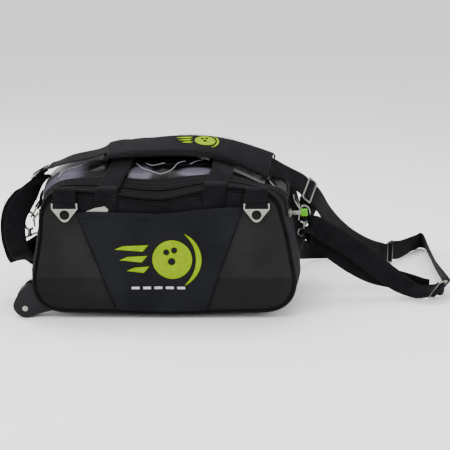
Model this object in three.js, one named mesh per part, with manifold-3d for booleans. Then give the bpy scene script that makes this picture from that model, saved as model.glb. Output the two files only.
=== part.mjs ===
// Rolling bowling bag: a soft carry bag for two balls, with a clear lid, two corner wheels,
// two carry handles and a long detachable shoulder strap that is also the pull strap.
// Units are millimetres. +X is along the length (wheels at the -X end), the front faces -Y, +Z is up.
import * as THREE from 'three';
import { mergeVertices } from 'three/addons/utils/BufferGeometryUtils.js';
import Module from 'manifold-3d';

const wasm = await Module();
wasm.setup();

// ---------------------------------------------------------------- driving dimensions
const GAP = 0.35;                 // clearance between touching pieces
const HALF_WIDE = 225.5;          // half length of the front panel at its widest height
const Z_WIDE = 70;                // height of the widest place
const HALF_HIGH = 204.5;          // half length where the top corner starts
const Z_HIGH = 188;
const HALF_TOP = 160;             // half length of the flat top
const HALF_UNDER = 165;           // half length of the flat underside
const Z_UNDER = 14;               // underside of the fabric body
const Z_TOP = 229;                // front panel's top edge
const HALF_DEPTH = 117;           // half depth of the gusset between the pipings
const CROWN = 50;                 // how far the lid domes over the front panel's top edge
const FALL_LEFT = 0.4;            // how much the dome drops towards the ends: the right end is
const FALL_RIGHT = 0.72;          // pulled down by the strap
const DOME_HALF = 148;            // half length over which the dome falls that much
const END_BULGE = 15;             // how far the ends swell between the pipings,
const END_BULGE_HIGH = 9;         // less at the height of the lid,
const WHEEL_BULGE = 8;            // and more low down at the wheel end
const CLOTH = 3;                  // padded nylon with its foam
const PIPING_R = 3.2;
const WEBBING = 38;               // width of all the webbing
const WEB_THICK = 1.8;
const PANEL_Y = 118;              // inner face of the front and rear panels
const LID_FRONT = -105;           // the lid's zipped front edge, on top
const LID_REAR = 108;             // the lid's sewn rear edge
const LID_LOW = 175;              // height where the zip turns back along the ends
const LID_BACK_LOW = 227;         // height of the lid's edge at the hinge
const ZIP_SLANT = 0.26;           // how the front zip leans back as it goes down the ends
const WHEEL_R = 18;
const WHEEL_WIDTH = 20;
const WHEEL_X = -242;
const WHEEL_Y = 103;
const BALL_X = 109;               // two 216 mm balls side by side
const BALL_R = 108;
const RING_BAR_Z = 207;           // bar of the triangular rings on the front
const RING_Y = -133;
const LEFT_RING_X = -166;
const RIGHT_RING_X = 157;
const STRAP_THICK = 1.8;

// ---------------------------------------------------------------- materials
const finish = (color, roughness, metalness = 0) =>
  new THREE.MeshStandardMaterial({ color, roughness, metalness });
const nylon = () => finish(0x222228, 0.75);
const charcoal = () => finish(0x343638, 0.8);
const webbing = () => finish(0x1b1c20, 0.85);
const nickel = () => finish(0xb4bcae, 0.35, 0.9);
const plastic = () => finish(0x2b2d30, 0.5);
const clearVinyl = () => {
  const m = finish(0xd8dde0, 0.12);
  m.transparent = true;
  m.opacity = 0.3;
  return m;
};

// ---------------------------------------------------------------- helpers
const bag = new THREE.Group();
const V = (x, y, z) => new THREE.Vector3(x, y, z);
const lerp = THREE.MathUtils.lerp;

function add(name, geometry, material, place) {
  const mesh = new THREE.Mesh(geometry, material);
  mesh.name = name;
  if (place) mesh.applyMatrix4(place);
  bag.add(mesh);
  return mesh;
}

// Local x, y and z run along the given directions, from the given origin.
function basis(xDir, yDir, zDir, origin = V(0, 0, 0)) {
  return new THREE.Matrix4().makeBasis(xDir, yDir, zDir).setPosition(origin);
}

// A flat shape drawn in x and z, extruded to the front from yBack by thickness.
function plateXZ(shape, yBack, thickness, curveSegments = 10) {
  const g = new THREE.ExtrudeGeometry(shape, { depth: thickness, bevelEnabled: false, curveSegments });
  return g.applyMatrix4(basis(V(1, 0, 0), V(0, 0, 1), V(0, -1, 0), V(0, yBack, 0)));
}

// A profile drawn in y and z, extruded along +X from x0.
function barX(shape, x0, length) {
  const g = new THREE.ExtrudeGeometry(shape, { depth: length, bevelEnabled: false, curveSegments: 6 });
  return g.applyMatrix4(basis(V(0, 1, 0), V(0, 0, 1), V(1, 0, 0), V(x0, 0, 0)));
}

// A closed mesh from rings of equal count: consecutive rings are joined and both ends capped.
function loft(rings) {
  const n = rings[0].length;
  const position = rings.flat().flatMap((p) => [p.x, p.y, p.z]);
  const index = [];
  for (let i = 0; i < rings.length - 1; i++) {
    for (let j = 0; j < n; j++) {
      const a = i * n + j;
      const b = i * n + ((j + 1) % n);
      index.push(a, b, b + n, a, b + n, a + n);
    }
  }
  const last = (rings.length - 1) * n;
  for (let j = 1; j < n - 1; j++) {
    index.push(0, j + 1, j);
    index.push(last, last + j, last + j + 1);
  }
  const g = new THREE.BufferGeometry();
  g.setAttribute('position', new THREE.Float32BufferAttribute(position, 3));
  g.setIndex(index);
  return g;
}

// Flat webbing along a route. Each stop is [centre, width direction]; both are splined.
function ribbon(stops, steps, width = WEBBING, thick = STRAP_THICK) {
  const centre = new THREE.CatmullRomCurve3(stops.map((s) => V(...s[0])), false, 'centripetal');
  const across = new THREE.CatmullRomCurve3(stops.map((s) => V(...s[1]).normalize().multiplyScalar(100)));
  const rings = [];
  for (let i = 0; i <= steps; i++) {
    const t = i / steps;
    const p = centre.getPoint(t);
    const tangent = centre.getTangent(t);
    const w = across.getPoint(t);
    w.addScaledVector(tangent, -w.dot(tangent)).normalize();
    const normal = tangent.clone().cross(w).normalize();
    const corner = (a, b) => p.clone().addScaledVector(w, a * width / 2).addScaledVector(normal, b * thick / 2);
    rings.push([corner(-1, -1), corner(1, -1), corner(1, 1), corner(-1, 1)]);
  }
  return loft(rings);
}

// A curved sheet: at(u, v) is its outer face and it is thick towards the inside.
function sheet(at, nu, nv, thick) {
  const outer = [];
  const inner = [];
  const step = 1e-3;
  for (let j = 0; j <= nv; j++) {
    for (let i = 0; i <= nu; i++) {
      const u = i / nu;
      const v = j / nv;
      const p = at(u, v);
      const du = at(Math.min(u + step, 1), v).sub(at(Math.max(u - step, 0), v));
      const dv = at(u, Math.min(v + step, 1)).sub(at(u, Math.max(v - step, 0)));
      const inward = du.cross(dv).normalize();
      outer.push(p);
      inner.push(p.clone().addScaledVector(inward, thick));
    }
  }
  const row = nu + 1;
  const count = outer.length;
  const index = [];
  const quad = (a, b, c, d) => index.push(a, c, b, a, d, c);
  for (let j = 0; j < nv; j++) {
    for (let i = 0; i < nu; i++) {
      const a = j * row + i;
      quad(a, a + 1, a + 1 + row, a + row);
      quad(count + a, count + a + row, count + a + 1 + row, count + a + 1);
    }
  }
  const wall = (a, b) => quad(b, a, count + a, count + b);
  for (let i = 0; i < nu; i++) {
    wall(i, i + 1);
    wall(nv * row + i + 1, nv * row + i);
  }
  for (let j = 0; j < nv; j++) {
    wall((j + 1) * row, j * row);
    wall(j * row + nu, (j + 1) * row + nu);
  }
  const g = new THREE.BufferGeometry();
  const position = [...outer, ...inner].flatMap((p) => [p.x, p.y, p.z]);
  g.setAttribute('position', new THREE.Float32BufferAttribute(position, 3));
  g.setIndex(index);
  return g;
}

// The outline of a strip of webbing seen edge on, from its centre line.
function stripProfile(line, thick = WEB_THICK) {
  const left = [];
  const right = [];
  line.forEach(([a, b], i) => {
    const [a0, b0] = line[Math.max(i - 1, 0)];
    const [a1, b1] = line[Math.min(i + 1, line.length - 1)];
    const along = new THREE.Vector2(a1 - a0, b1 - b0).normalize();
    left.push(new THREE.Vector2(a - along.y * thick / 2, b + along.x * thick / 2));
    right.unshift(new THREE.Vector2(a + along.y * thick / 2, b - along.x * thick / 2));
  });
  return new THREE.Shape([...left, ...right]);
}

function toSolid(geometry) {
  const g = geometry.clone();
  g.deleteAttribute('normal');
  g.deleteAttribute('uv');
  const m = mergeVertices(g, 1e-4);
  return new wasm.Manifold(new wasm.Mesh({
    numProp: 3,
    vertProperties: new Float32Array(m.attributes.position.array),
    triVerts: new Uint32Array(m.index.array),
  }));
}

function fromSolid(solid) {
  const m = solid.getMesh();
  const g = new THREE.BufferGeometry();
  g.setAttribute('position', new THREE.Float32BufferAttribute(m.vertProperties, 3));
  g.setIndex(Array.from(m.triVerts));
  return g;
}

const joined = (...parts) => fromSolid(parts.map(toSolid).reduce((a, b) => a.add(b)));
const cut = (whole, ...holes) => fromSolid(holes.map(toSolid).reduce((a, b) => a.subtract(b), toSolid(whole)));
// Drops the slivers that a cut leaves beside the main piece.
function largest(geometry) {
  const pieces = toSolid(geometry).decompose().sort((a, b) => b.volume() - a.volume());
  return fromSolid(pieces[0]);
}

// A round wire along an open route, or a closed one.
function wire(points, radius, steps, closed = false) {
  const curve = new THREE.CatmullRomCurve3(points.map((p) => V(...p)), closed, 'centripetal');
  if (closed) return new THREE.TubeGeometry(curve, steps, radius, 7, true);
  const section = new THREE.Shape().absarc(0, 0, radius, 0, 2 * Math.PI);
  return new THREE.ExtrudeGeometry(section, { steps, extrudePath: curve, curveSegments: 4 });
}

// A rod along Y, X or any direction.
function rod(radius, length, centre, direction, sides = 16) {
  const g = new THREE.CylinderGeometry(radius, radius, length, sides);
  const turn = new THREE.Quaternion().setFromUnitVectors(V(0, 1, 0), direction.clone().normalize());
  return g.applyQuaternion(turn).translate(centre.x, centre.y, centre.z);
}

// ---------------------------------------------------------------- body outline
// Rounded trapezoid of the front and rear panels, drawn from the middle of the underside.
function outlinePath(inset = 0) {
  const sx = (HALF_WIDE - inset) / HALF_WIDE;
  const zMid = (Z_TOP + Z_UNDER) / 2;
  const sz = (Z_TOP - Z_UNDER - 2 * inset) / (Z_TOP - Z_UNDER);
  const at = (x, z) => [x * sx, zMid + (z - zMid) * sz];
  const lean = (HALF_WIDE - HALF_HIGH) / (Z_HIGH - Z_WIDE);
  const cornerX = HALF_HIGH - lean * (Z_TOP - Z_HIGH);
  const s = new THREE.Shape();
  s.moveTo(...at(0, Z_UNDER));
  s.lineTo(...at(HALF_UNDER, Z_UNDER));
  s.quadraticCurveTo(...at(HALF_WIDE, Z_UNDER), ...at(HALF_WIDE, Z_WIDE));
  s.lineTo(...at(HALF_HIGH, Z_HIGH));
  s.quadraticCurveTo(...at(cornerX, Z_TOP), ...at(HALF_TOP, Z_TOP));
  s.lineTo(...at(-HALF_TOP, Z_TOP));
  s.quadraticCurveTo(...at(-cornerX, Z_TOP), ...at(-HALF_HIGH, Z_HIGH));
  s.lineTo(...at(-HALF_WIDE, Z_WIDE));
  s.quadraticCurveTo(...at(-HALF_WIDE, Z_UNDER), ...at(-HALF_UNDER, Z_UNDER));
  s.lineTo(...at(0, Z_UNDER));
  return s;
}

const outline = outlinePath();
outline.arcLengthDivisions = 400;

// Fraction of the outline's length, on the right side, where it reaches a height.
function arcAtHeight(z) {
  let low = 0.05;
  let high = 0.5;
  for (let i = 0; i < 40; i++) {
    const mid = (low + high) / 2;
    if (outline.getPointAt(mid).y < z) low = mid;
    else high = mid;
  }
  return low;
}

// Height of the lid's dome over a place along the bag, at mid depth.
const domeAt = (x) => CROWN * Math.max(0.1, 1 - (x < 0 ? FALL_LEFT : FALL_RIGHT) * (x / DOME_HALF) ** 2);

// How far the ends swell at a place on the outline.
function endBulge(x, z) {
  const ease = (a, b) => THREE.MathUtils.smoothstep(z, a, b);
  const base = lerp(END_BULGE, END_BULGE_HIGH, ease(130, 185));
  return x < 0 ? base + WHEEL_BULGE * (1 - ease(30, 82)) : base;
}

// A point of the swollen body at a fraction of the outline and a depth.
function bodyPoint(s, y) {
  const p = outline.getPointAt(s);
  const t = outline.getTangentAt(s);
  const nx = t.y;
  const nz = -t.x;
  const swell = domeAt(p.x) * Math.max(nz, 0) ** 2 + endBulge(p.x, p.y) * nx * nx;
  const across = Math.max(0, 1 - (y / HALF_DEPTH) ** 2);
  return V(p.x + nx * swell * across, y, p.y + nz * swell * across);
}

const lidTop = (x, y) => Z_TOP + domeAt(x) * Math.max(0, 1 - (y / HALF_DEPTH) ** 2);

// ---------------------------------------------------------------- base
const SKID_LENGTH = 300;
const SKID_DEPTH = 110;
const SKID_THICK = 12;
const skid = new THREE.Shape();
skid.moveTo(-SKID_LENGTH / 2, 0);
skid.lineTo(SKID_LENGTH / 2, 0);
skid.lineTo(SKID_LENGTH / 2 + 6, SKID_THICK);
skid.lineTo(-SKID_LENGTH / 2 - 6, SKID_THICK);
skid.closePath();
add('base_skid', plateXZ(skid, SKID_DEPTH / 2, SKID_DEPTH), plastic());

const FLAT_ARC = arcAtHeight(Z_UNDER + 0.5);
add('bottom_panel', sheet((u, v) => {
  const s = lerp(-FLAT_ARC, FLAT_ARC, u);
  return bodyPoint((s + 1) % 1, lerp(-HALF_DEPTH + 1, HALF_DEPTH - 1, v));
}, 8, 4, CLOTH), nylon());

const BOARD_Z = Z_UNDER + CLOTH + 1;
const BOARD_THICK = 3;
const board = new THREE.BoxGeometry(320, 216, BOARD_THICK);
add('base_board', board.translate(0, 0, BOARD_Z + BOARD_THICK / 2), plastic());

// Foam cups that keep the two balls apart and upright.
const CUP_R = 70;
const CUP_Z = BOARD_Z + BOARD_THICK + GAP;
const CUP_HIGH = 36;
const CUP_WALL = 5;
const BALL_Z = CUP_Z + CUP_WALL + BALL_R;
const CUP_HOLE_R = 24;
const CUP_TOP = CUP_Z + CUP_HIGH;
const cupProfile = [[CUP_HOLE_R, CUP_Z], [CUP_R, CUP_Z], [CUP_R, CUP_TOP]].map((p) => new THREE.Vector2(...p));
for (let i = 0; i <= 5; i++) {
  const r = lerp(CUP_R - CUP_WALL, CUP_HOLE_R, i / 5);
  cupProfile.push(new THREE.Vector2(r, Math.min(CUP_TOP, BALL_Z - Math.sqrt((BALL_R + 1) ** 2 - r ** 2))));
}
cupProfile.push(cupProfile[0].clone());
for (const side of [-1, 1]) {
  const cup = new THREE.LatheGeometry(cupProfile, 28).rotateX(Math.PI / 2);
  add(side < 0 ? 'ball_cup_left' : 'ball_cup_right', cup.translate(side * BALL_X, 0, 0), finish(0x6f6d7a, 0.9));
}

// ---------------------------------------------------------------- fabric shell
const LOW_ARC = arcAtHeight(Z_UNDER + 0.6);
const ZIP_CORNER_Y = LID_FRONT + ZIP_SLANT * (Z_TOP - LID_LOW);
const zipBack = (y) => lerp(LID_LOW, LID_BACK_LOW, (y - ZIP_CORNER_Y) / (LID_REAR - ZIP_CORNER_Y));
const endTop = (y) => Math.min(Math.max(zipBack(y), LID_LOW), LID_BACK_LOW) - GAP;
const CORNER_STEPS = 2;
const DEPTH_STEPS = 12;
// Depths of the end panels' rows: a few up to the zip's corner, the rest behind it.
function rowDepth(v) {
  const split = CORNER_STEPS / DEPTH_STEPS;
  if (v <= split) return lerp(-HALF_DEPTH + 1, ZIP_CORNER_Y, v / split);
  return lerp(ZIP_CORNER_Y, HALF_DEPTH - 1, (v - split) / (1 - split));
}
for (const side of [-1, 1]) {
  add(side < 0 ? 'end_panel_left' : 'end_panel_right', sheet((u, v) => {
    const y = rowDepth(v);
    const s = lerp(LOW_ARC, arcAtHeight(endTop(y)), side < 0 ? 1 - u : u);
    return bodyPoint(side < 0 ? 1 - s : s, y);
  }, 10, DEPTH_STEPS, CLOTH), nylon());
}

const panelShape = outlinePath(4.4);
add('front_panel', plateXZ(panelShape, -PANEL_Y, CLOTH, 8), nylon());
add('rear_panel', plateXZ(panelShape, PANEL_Y + CLOTH, CLOTH, 8), nylon());

const PIPING_Y = 119.5;
for (const [name, y] of [['front_piping', -PIPING_Y], ['rear_piping', PIPING_Y]]) {
  const loop = outline.getSpacedPoints(64).slice(0, -1).map((p) => [p.x, y, p.y]);
  add(name, wire(loop, PIPING_R, 72, true), nylon());
}

// The lid's front zip edge leans back as it goes down the ends.
const zipFront = (z) => LID_FRONT + ZIP_SLANT * Math.max(0, Z_TOP - z);
const ARC_LOW = arcAtHeight(LID_LOW + GAP + 0.2);
add('front_band', sheet((u, v) => {
  const s = lerp(ARC_LOW, 1 - ARC_LOW, u);
  const z = outline.getPointAt(s).y;
  return bodyPoint(s, lerp(-HALF_DEPTH + 1, zipFront(z) - 0.7, v));
}, 48, 1, CLOTH - 0.5), nylon());

const ARC_BACK = arcAtHeight(LID_BACK_LOW);
add('rear_band', sheet((u, v) =>
  bodyPoint(lerp(ARC_BACK, 1 - ARC_BACK, u), lerp(LID_REAR + 1, HALF_DEPTH - 1, v)), 24, 1, CLOTH), nylon());

// ---------------------------------------------------------------- front pocket
const POCKET_Y = -126.3;
const POCKET_THICK = 2.2;
const HEM_LEFT = [-149, 191];
const HEM_RIGHT = [136, 198];
const SEAM_LEFT_LOW = -84;
const SEAM_RIGHT_LOW = 73;
const POCKET_LOW = 22;
const polygon = (points) => new THREE.Shape(points.map(([x, z]) => new THREE.Vector2(x, z)));
add('pocket_center', plateXZ(polygon([
  [SEAM_LEFT_LOW + 1, POCKET_LOW], [SEAM_RIGHT_LOW - 1, POCKET_LOW], HEM_RIGHT, HEM_LEFT,
]), POCKET_Y, POCKET_THICK), nylon());

// Side panels follow the outline from the underside to the top corner.
function sidePanel(side, seamLow, hem) {
  const edge = outlinePath(9).getSpacedPoints(90).slice(1, 44).filter((p) => p.x > 90);
  const points = edge.map((p) => [p.x * side, p.y]).filter(([, z]) => z > POCKET_LOW + 1);
  points.unshift([seamLow + side * 1, POCKET_LOW], [side * 150, POCKET_LOW]);
  const kept = points.filter(([x, z]) => z < 200 || x * side > hem[0] * side + 2);
  kept.push([hem[0] + side * 1.5, 218], [hem[0] + side * 1.5, hem[1]]);
  return polygon(kept);
}
const SIDE_BACK = -PANEL_Y - CLOTH - GAP;
const SIDE_THICK = SIDE_BACK - POCKET_Y + POCKET_THICK;
add('pocket_side_left', plateXZ(sidePanel(-1, SEAM_LEFT_LOW, HEM_LEFT), SIDE_BACK, SIDE_THICK), charcoal());
add('pocket_side_right', plateXZ(sidePanel(1, SEAM_RIGHT_LOW, HEM_RIGHT), SIDE_BACK, SIDE_THICK), charcoal());
add('pocket_hem', plateXZ(polygon([
  [HEM_LEFT[0] + 4, HEM_LEFT[1] - 9], [HEM_RIGHT[0] - 4, HEM_RIGHT[1] - 9],
  [HEM_RIGHT[0] - 1, HEM_RIGHT[1]], [HEM_LEFT[0] + 1, HEM_LEFT[1]],
]), POCKET_Y - POCKET_THICK - GAP, 1), nylon());

// Key clip hanging inside the pocket, just showing over its hem.
const clipShape = polygon([[-131, 178], [-96, 178], [-93, 197], [-99, 202], [-117, 198.5], [-131, 193]]);
add('key_clip', plateXZ(clipShape, -124.1, 1.4), nickel());

// ---------------------------------------------------------------- front rings
const RING_THICK = 2;
const ringShape = new THREE.Shape();
ringShape.moveTo(-22, 2);
ringShape.lineTo(22, 2);
ringShape.lineTo(22, -8);
ringShape.lineTo(6, -28);
ringShape.quadraticCurveTo(0, -33, -6, -28);
ringShape.lineTo(-22, -8);
ringShape.closePath();
const slot = new THREE.Path();
slot.moveTo(-19.6, -1.6);
slot.lineTo(-19.6, -7.4);
slot.lineTo(19.6, -7.4);
slot.lineTo(19.6, -1.6);
slot.closePath();
ringShape.holes.push(slot, new THREE.Path().absarc(0, -18, 8.5, 0, 2 * Math.PI));
const tabLine = [
  [-126.6, 231], [-129.5, 224], [-129.6, 214], [-129.6, 206.5], [-130.9, 203.6], [-133, 202.6],
  [-135.1, 203.6], [-136.4, 206.5], [-136.4, 214],
];
for (const [side, x] of [['left', LEFT_RING_X], ['right', RIGHT_RING_X]]) {
  add(`ring_${side}`, plateXZ(ringShape, 0, RING_THICK, 14), nickel(),
    new THREE.Matrix4().makeTranslation(x, RING_Y + RING_THICK / 2, RING_BAR_Z));
  add(`ring_tab_${side}`, barX(stripProfile(tabLine), x - WEBBING / 2, WEBBING), webbing());
}

// ---------------------------------------------------------------- wheels
const CHEEK = 3;
// Outline of a wheel cheek round its axle, and the strip of it that carries the tread guard.
const CHEEK_BACK = [[0, 40], [-5.2, 33.8], [-10, 30], [-13.8, 22], [-17.7, 14.6], [-20.8, 6]];
const CHEEK_LOW = [[-20, -2], [-16, -8.5], [-9, -14.6], [-1.5, -17.2], [6.4, -17], [13.8, -14.6], [20.6, -10.5],
  [29, -8.5], [50, -3], [66, -1]];
const aroundAxle = ([x, z]) => new THREE.Vector2(WHEEL_X + x, WHEEL_R + z);
function housingShape() {
  const round = new THREE.SplineCurve([...CHEEK_BACK.slice(1), ...CHEEK_LOW].map(aroundAxle)).getPoints(34);
  return new THREE.Shape([...[[70, 2], [30, 30], [10, 46], [0, 40]].map(aroundAxle), ...round]);
}
function guardShape() {
  const outer = new THREE.SplineCurve(CHEEK_BACK.slice(0, 5).map(aroundAxle)).getPoints(10);
  const inner = new THREE.SplineCurve([[3.4, 38], [-2.6, 31.4], [-7.6, 27.6], [-11.2, 20.8], [-14.9, 13.6]]
    .map(aroundAxle)).getPoints(10);
  return new THREE.Shape([...outer, ...inner.reverse()]);
}
const AXLE_R = 3;
// The swollen body with a margin, which shapes the inside of the wheel housings.
function bodyWithMargin(margin) {
  const rings = [];
  const count = 72;
  for (let j = 0; j <= 16; j++) {
    const y = lerp(PIPING_Y + PIPING_R + 3, -PIPING_Y - PIPING_R - 3, j / 16);
    const extra = margin + (Math.abs(y) > HALF_DEPTH - 4 ? PIPING_R : 0);
    rings.push([...Array(count).keys()].map((i) => {
      const s = i / count;
      const t = outline.getTangentAt(s);
      return bodyPoint(s, y).add(V(t.y * extra, 0, -t.x * extra));
    }));
  }
  return loft(rings);
}
const bodyCutter = bodyWithMargin(1.4);
for (const [end, y] of [['front', -WHEEL_Y], ['rear', WHEEL_Y]]) {
  const centre = V(WHEEL_X, y, WHEEL_R);
  const tread = [
    [4, -10], [WHEEL_R - 3.5, -10], [WHEEL_R - 0.6, -8.4], [WHEEL_R, -6], [WHEEL_R, 6], [WHEEL_R - 0.6, 8.4],
    [WHEEL_R - 3.5, 10], [4, 10],
  ].map(([r, h]) => new THREE.Vector2(r, h));
  tread.push(tread[0].clone());
  const wheel = new THREE.LatheGeometry(tread, 32);
  add(`wheel_${end}`, wheel.translate(centre.x, centre.y, centre.z), finish(0x1c1d1f, 0.6));
  const inner = y - Math.sign(y) * (WHEEL_WIDTH / 2 + 0.8);
  const outer = y + Math.sign(y) * (WHEEL_WIDTH / 2 + 0.8);
  const cheek = (yy, dir) => plateXZ(housingShape(), yy + (dir > 0 ? CHEEK : 0), CHEEK, 6);
  const span = WHEEL_WIDTH + 2;
  const holder = largest(cut(
    joined(
      cheek(outer, Math.sign(y)),
      cheek(inner, -Math.sign(y)),
      plateXZ(guardShape(), y + span / 2, span, 12),
    ),
    rod(AXLE_R + 0.3, 60, centre, V(0, 1, 0)),
    bodyCutter,
  ));
  add(`wheel_housing_${end}`, holder, plastic());
  const head = rod(5, 1.8, V(WHEEL_X, outer + Math.sign(y) * (CHEEK + 1.2), WHEEL_R), V(0, 1, 0), 20);
  const tail = rod(5, 1.8, V(WHEEL_X, inner - Math.sign(y) * (CHEEK + 1.2), WHEEL_R), V(0, 1, 0), 20);
  add(`axle_${end}`, joined(rod(AXLE_R, 30, centre, V(0, 1, 0)), head, tail), nickel());
}

// ---------------------------------------------------------------- lid
const LID_GAP = 0.4;
function lidPoint(u, v) {
  const y0 = lerp(LID_FRONT, LID_REAR, v);
  const low = arcAtHeight(lerp(LID_LOW, LID_BACK_LOW, v) + LID_GAP);
  const s = lerp(low, 1 - low, u);
  const z = outline.getPointAt(s).y;
  return bodyPoint(s, y0 + ZIP_SLANT * (1 - v) * Math.max(0, Z_TOP - z));
}
const patch = (u0, u1, v0, v1) => (u, v) => lidPoint(lerp(u0, u1, u), lerp(v0, v1, v));
const TRIM_FRONT = 0.075;
const TRIM_REAR = 0.94;
const TRIM_END = 0.05;
const SEAM = 0.0022;
add('lid_trim', joined(
  sheet(patch(0, 1, 0, TRIM_FRONT), 48, 1, 2.4),
  sheet(patch(0, 1, TRIM_REAR, 1), 32, 1, 2.4),
  sheet(patch(0, TRIM_END, TRIM_FRONT - 0.01, TRIM_REAR + 0.01), 2, 12, 2.4),
  sheet(patch(1 - TRIM_END, 1, TRIM_FRONT - 0.01, TRIM_REAR + 0.01), 2, 12, 2.4),
), nylon());
const WINDOW_END = TRIM_END + SEAM / 2;
const windowPatch = patch(WINDOW_END, 1 - WINDOW_END, TRIM_FRONT + SEAM, TRIM_REAR - SEAM);
add('lid_window', sheet(windowPatch, 28, 10, 1.2), clearVinyl());

// ---------------------------------------------------------------- carry handles
const HANDLE_PIVOT_Z = 206;
const overLid = (x, y, lift = 2.4) => [x, y, lidTop(x, y) + lift];
const frontLoop = [
  [[-98, -123.8, 206.5], [1, 0, 0]],
  [[-97.5, -125.4, 220], [1, 0, 0]],
  [[-97, -125.2, 229], [1, 0, 0]],
  [[-96, -123, 233.8], [1, 0, 0]],
  [[-95, -118, 236], [1, 0, 0]],
  [overLid(-93, -110, 4), [1, 0, 0.04]],
  [overLid(-85, -88, 3.2), [1, -0.1, 0.08]],
  [overLid(-76, -62, 2.7), [1, -0.1, 0.08]],
  [overLid(-70, -30), [1, -0.1, 0.08]],
  [overLid(-62, -2), [1, -0.3, 0.1]],
  [overLid(-40, 24), [0.6, -0.8, 0.1]],
  [overLid(-4, 36), [0, -1, 0.14]],
  [overLid(34, 36), [0, -1, 0.14]],
  [overLid(72, 24, 3.4), [-0.6, -0.8, 0.2]],
  [overLid(92, -2, 4), [-1, -0.3, 0.3]],
  [overLid(99, -30, 4), [-1, -0.1, 0.33]],
  [overLid(101, -62, 3.2), [-1, 0, 0.32]],
  [overLid(98, -88, 3.4), [-1, 0, 0.18]],
  [overLid(90, -110, 4), [-1, 0, 0.1]],
  [[88, -118, 236], [-1, 0, 0]],
  [[87, -123, 233.8], [-1, 0, 0]],
  [[86, -125.2, 229], [-1, 0, 0]],
  [[85, -125.4, 220], [-1, 0, 0]],
  [[84, -123.8, 206.5], [-1, 0, 0]],
];
add('front_handle_loop', ribbon(frontLoop, 76), webbing());

for (const side of [-1, 1]) {
  const leg = new THREE.BoxGeometry(WEBBING, WEB_THICK, 90);
  add(`rear_handle_leg_${side < 0 ? 'left' : 'right'}`,
    leg.translate(side * 90, PANEL_Y + CLOTH + GAP + WEB_THICK / 2, HANDLE_PIVOT_Z - 6 - 45), webbing());
}
const rearLoop = [
  [[-90, 123.6, 201.5], [1, 0, 0]],
  [[-90, 125.6, 208], [1, 0, 0]],
  [[-90, 129, 205], [1, 0, 0]],
  [[-89, 130.2, 180], [1, 0, 0]],
  [[-84, 130.6, 140], [1, 0, 0.1]],
  [[-62, 131, 104], [0.7, 0, 0.7]],
  [[-25, 131, 88], [0.1, 0, 1]],
  [[25, 131, 88], [-0.1, 0, 1]],
  [[62, 131, 104], [-0.7, 0, 0.7]],
  [[84, 130.6, 140], [-1, 0, 0.1]],
  [[89, 130.2, 180], [-1, 0, 0]],
  [[90, 129, 205], [-1, 0, 0]],
  [[90, 125.6, 208], [-1, 0, 0]],
  [[90, 123.6, 201.5], [-1, 0, 0]],
];
add('rear_handle_loop', ribbon(rearLoop, 60), webbing());

// ---------------------------------------------------------------- shoulder pad and webbing over the lid
const padStops = [
  [[-105, -30, 275.5], [-0.1, 0.95, 0.13]],
  [[-71, -30, 281.5], [-0.1, 0.95, 0.18]],
  [[-16, -30, 285.5], [-0.1, 0.95, 0.26]],
  [[31, -30, 287.5], [-0.05, 0.94, 0.32]],
  [[85, -30, 284.5], [0.1, 0.93, 0.36]],
  [[121, -30, 275.5], [0.27, 0.87, 0.36]],
  [[153, -30, 262.5], [0.42, 0.82, 0.3]],
  [[177, -30, 252], [0.5, 0.8, 0.24]],
];
add('shoulder_pad', ribbon(padStops, 26, 76, 8), nylon());
const leftOver = [
  [[-107.5, -30, 275], [0.02, 0.93, 0.15]],
  [[-135, -28, 270.5], [0.1, 0.93, 0.2]],
  [[-168, -28, 263], [0.25, 0.9, 0.22]],
  [[-192.5, -25, 253.5], [0.45, 0.82, 0.24]],
  [[-199, -24.6, 250.2], [0.5, 0.82, 0.22]],
];
add('strap_left_over', ribbon(leftOver, 20), webbing());
const rightOver = [
  [[181.8, -29.5, 249.5], [0.5, 0.8, 0.26]],
  [[200, -25, 240], [0.4, 0.78, 0.42]],
  [[222, -18, 228], [0.38, 0.72, 0.52]],
  [[240, -13, 217], [0.36, 0.68, 0.6]],
  [[246, -11.5, 211.5], [0.36, 0.68, 0.6]],
];
add('strap_right_over', ribbon(rightOver, 12), webbing());

// ---------------------------------------------------------------- strap slides
function slideShape(long = 46, short = 22) {
  const s = new THREE.Shape();
  const r = 3;
  s.moveTo(-long / 2 + r, -short / 2);
  s.lineTo(long / 2 - r, -short / 2);
  s.quadraticCurveTo(long / 2, -short / 2, long / 2, -short / 2 + r);
  s.lineTo(long / 2, short / 2 - r);
  s.quadraticCurveTo(long / 2, short / 2, long / 2 - r, short / 2);
  s.lineTo(-long / 2 + r, short / 2);
  s.quadraticCurveTo(-long / 2, short / 2, -long / 2, short / 2 - r);
  s.lineTo(-long / 2, -short / 2 + r);
  s.quadraticCurveTo(-long / 2, -short / 2, -long / 2 + r, -short / 2);
  return s;
}
// long runs along the slide's bars and travel along the webbing.
function addSlide(name, centre, long, travel) {
  const x = V(...long).normalize();
  const t = V(...travel);
  t.addScaledVector(x, -t.dot(x)).normalize();
  const n = x.clone().cross(t);
  const plate = new THREE.ExtrudeGeometry(slideShape(), { depth: 2.4, bevelEnabled: false, curveSegments: 3 });
  const slots = [-4.9, 4.9].map((c) => new THREE.BoxGeometry(39.2, 6.2, 9).translate(0, c, 0));
  add(name, cut(plate.translate(0, 0, -1.2), ...slots), nickel(), basis(x, t, n, V(...centre)));
}
addSlide('slide_left', [-219.5, -14, 238.2], [0.587, 0.776, 0.233], [-0.56, 0.59, -0.58]);
addSlide('slide_right', [254.5, -9.5, 202.5], [0.33, 0.69, 0.63], [0.6, 0.2, -0.72]);
addSlide('slide_floor', [434, 211, 23.6], [0, 0, 1], [0.58, 0.81, 0]);
addSlide('slide_corner', [489.5, -17.5, 20.2], [0.37, -0.47, 0.8], [0.8, 0.6, 0]);

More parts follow.
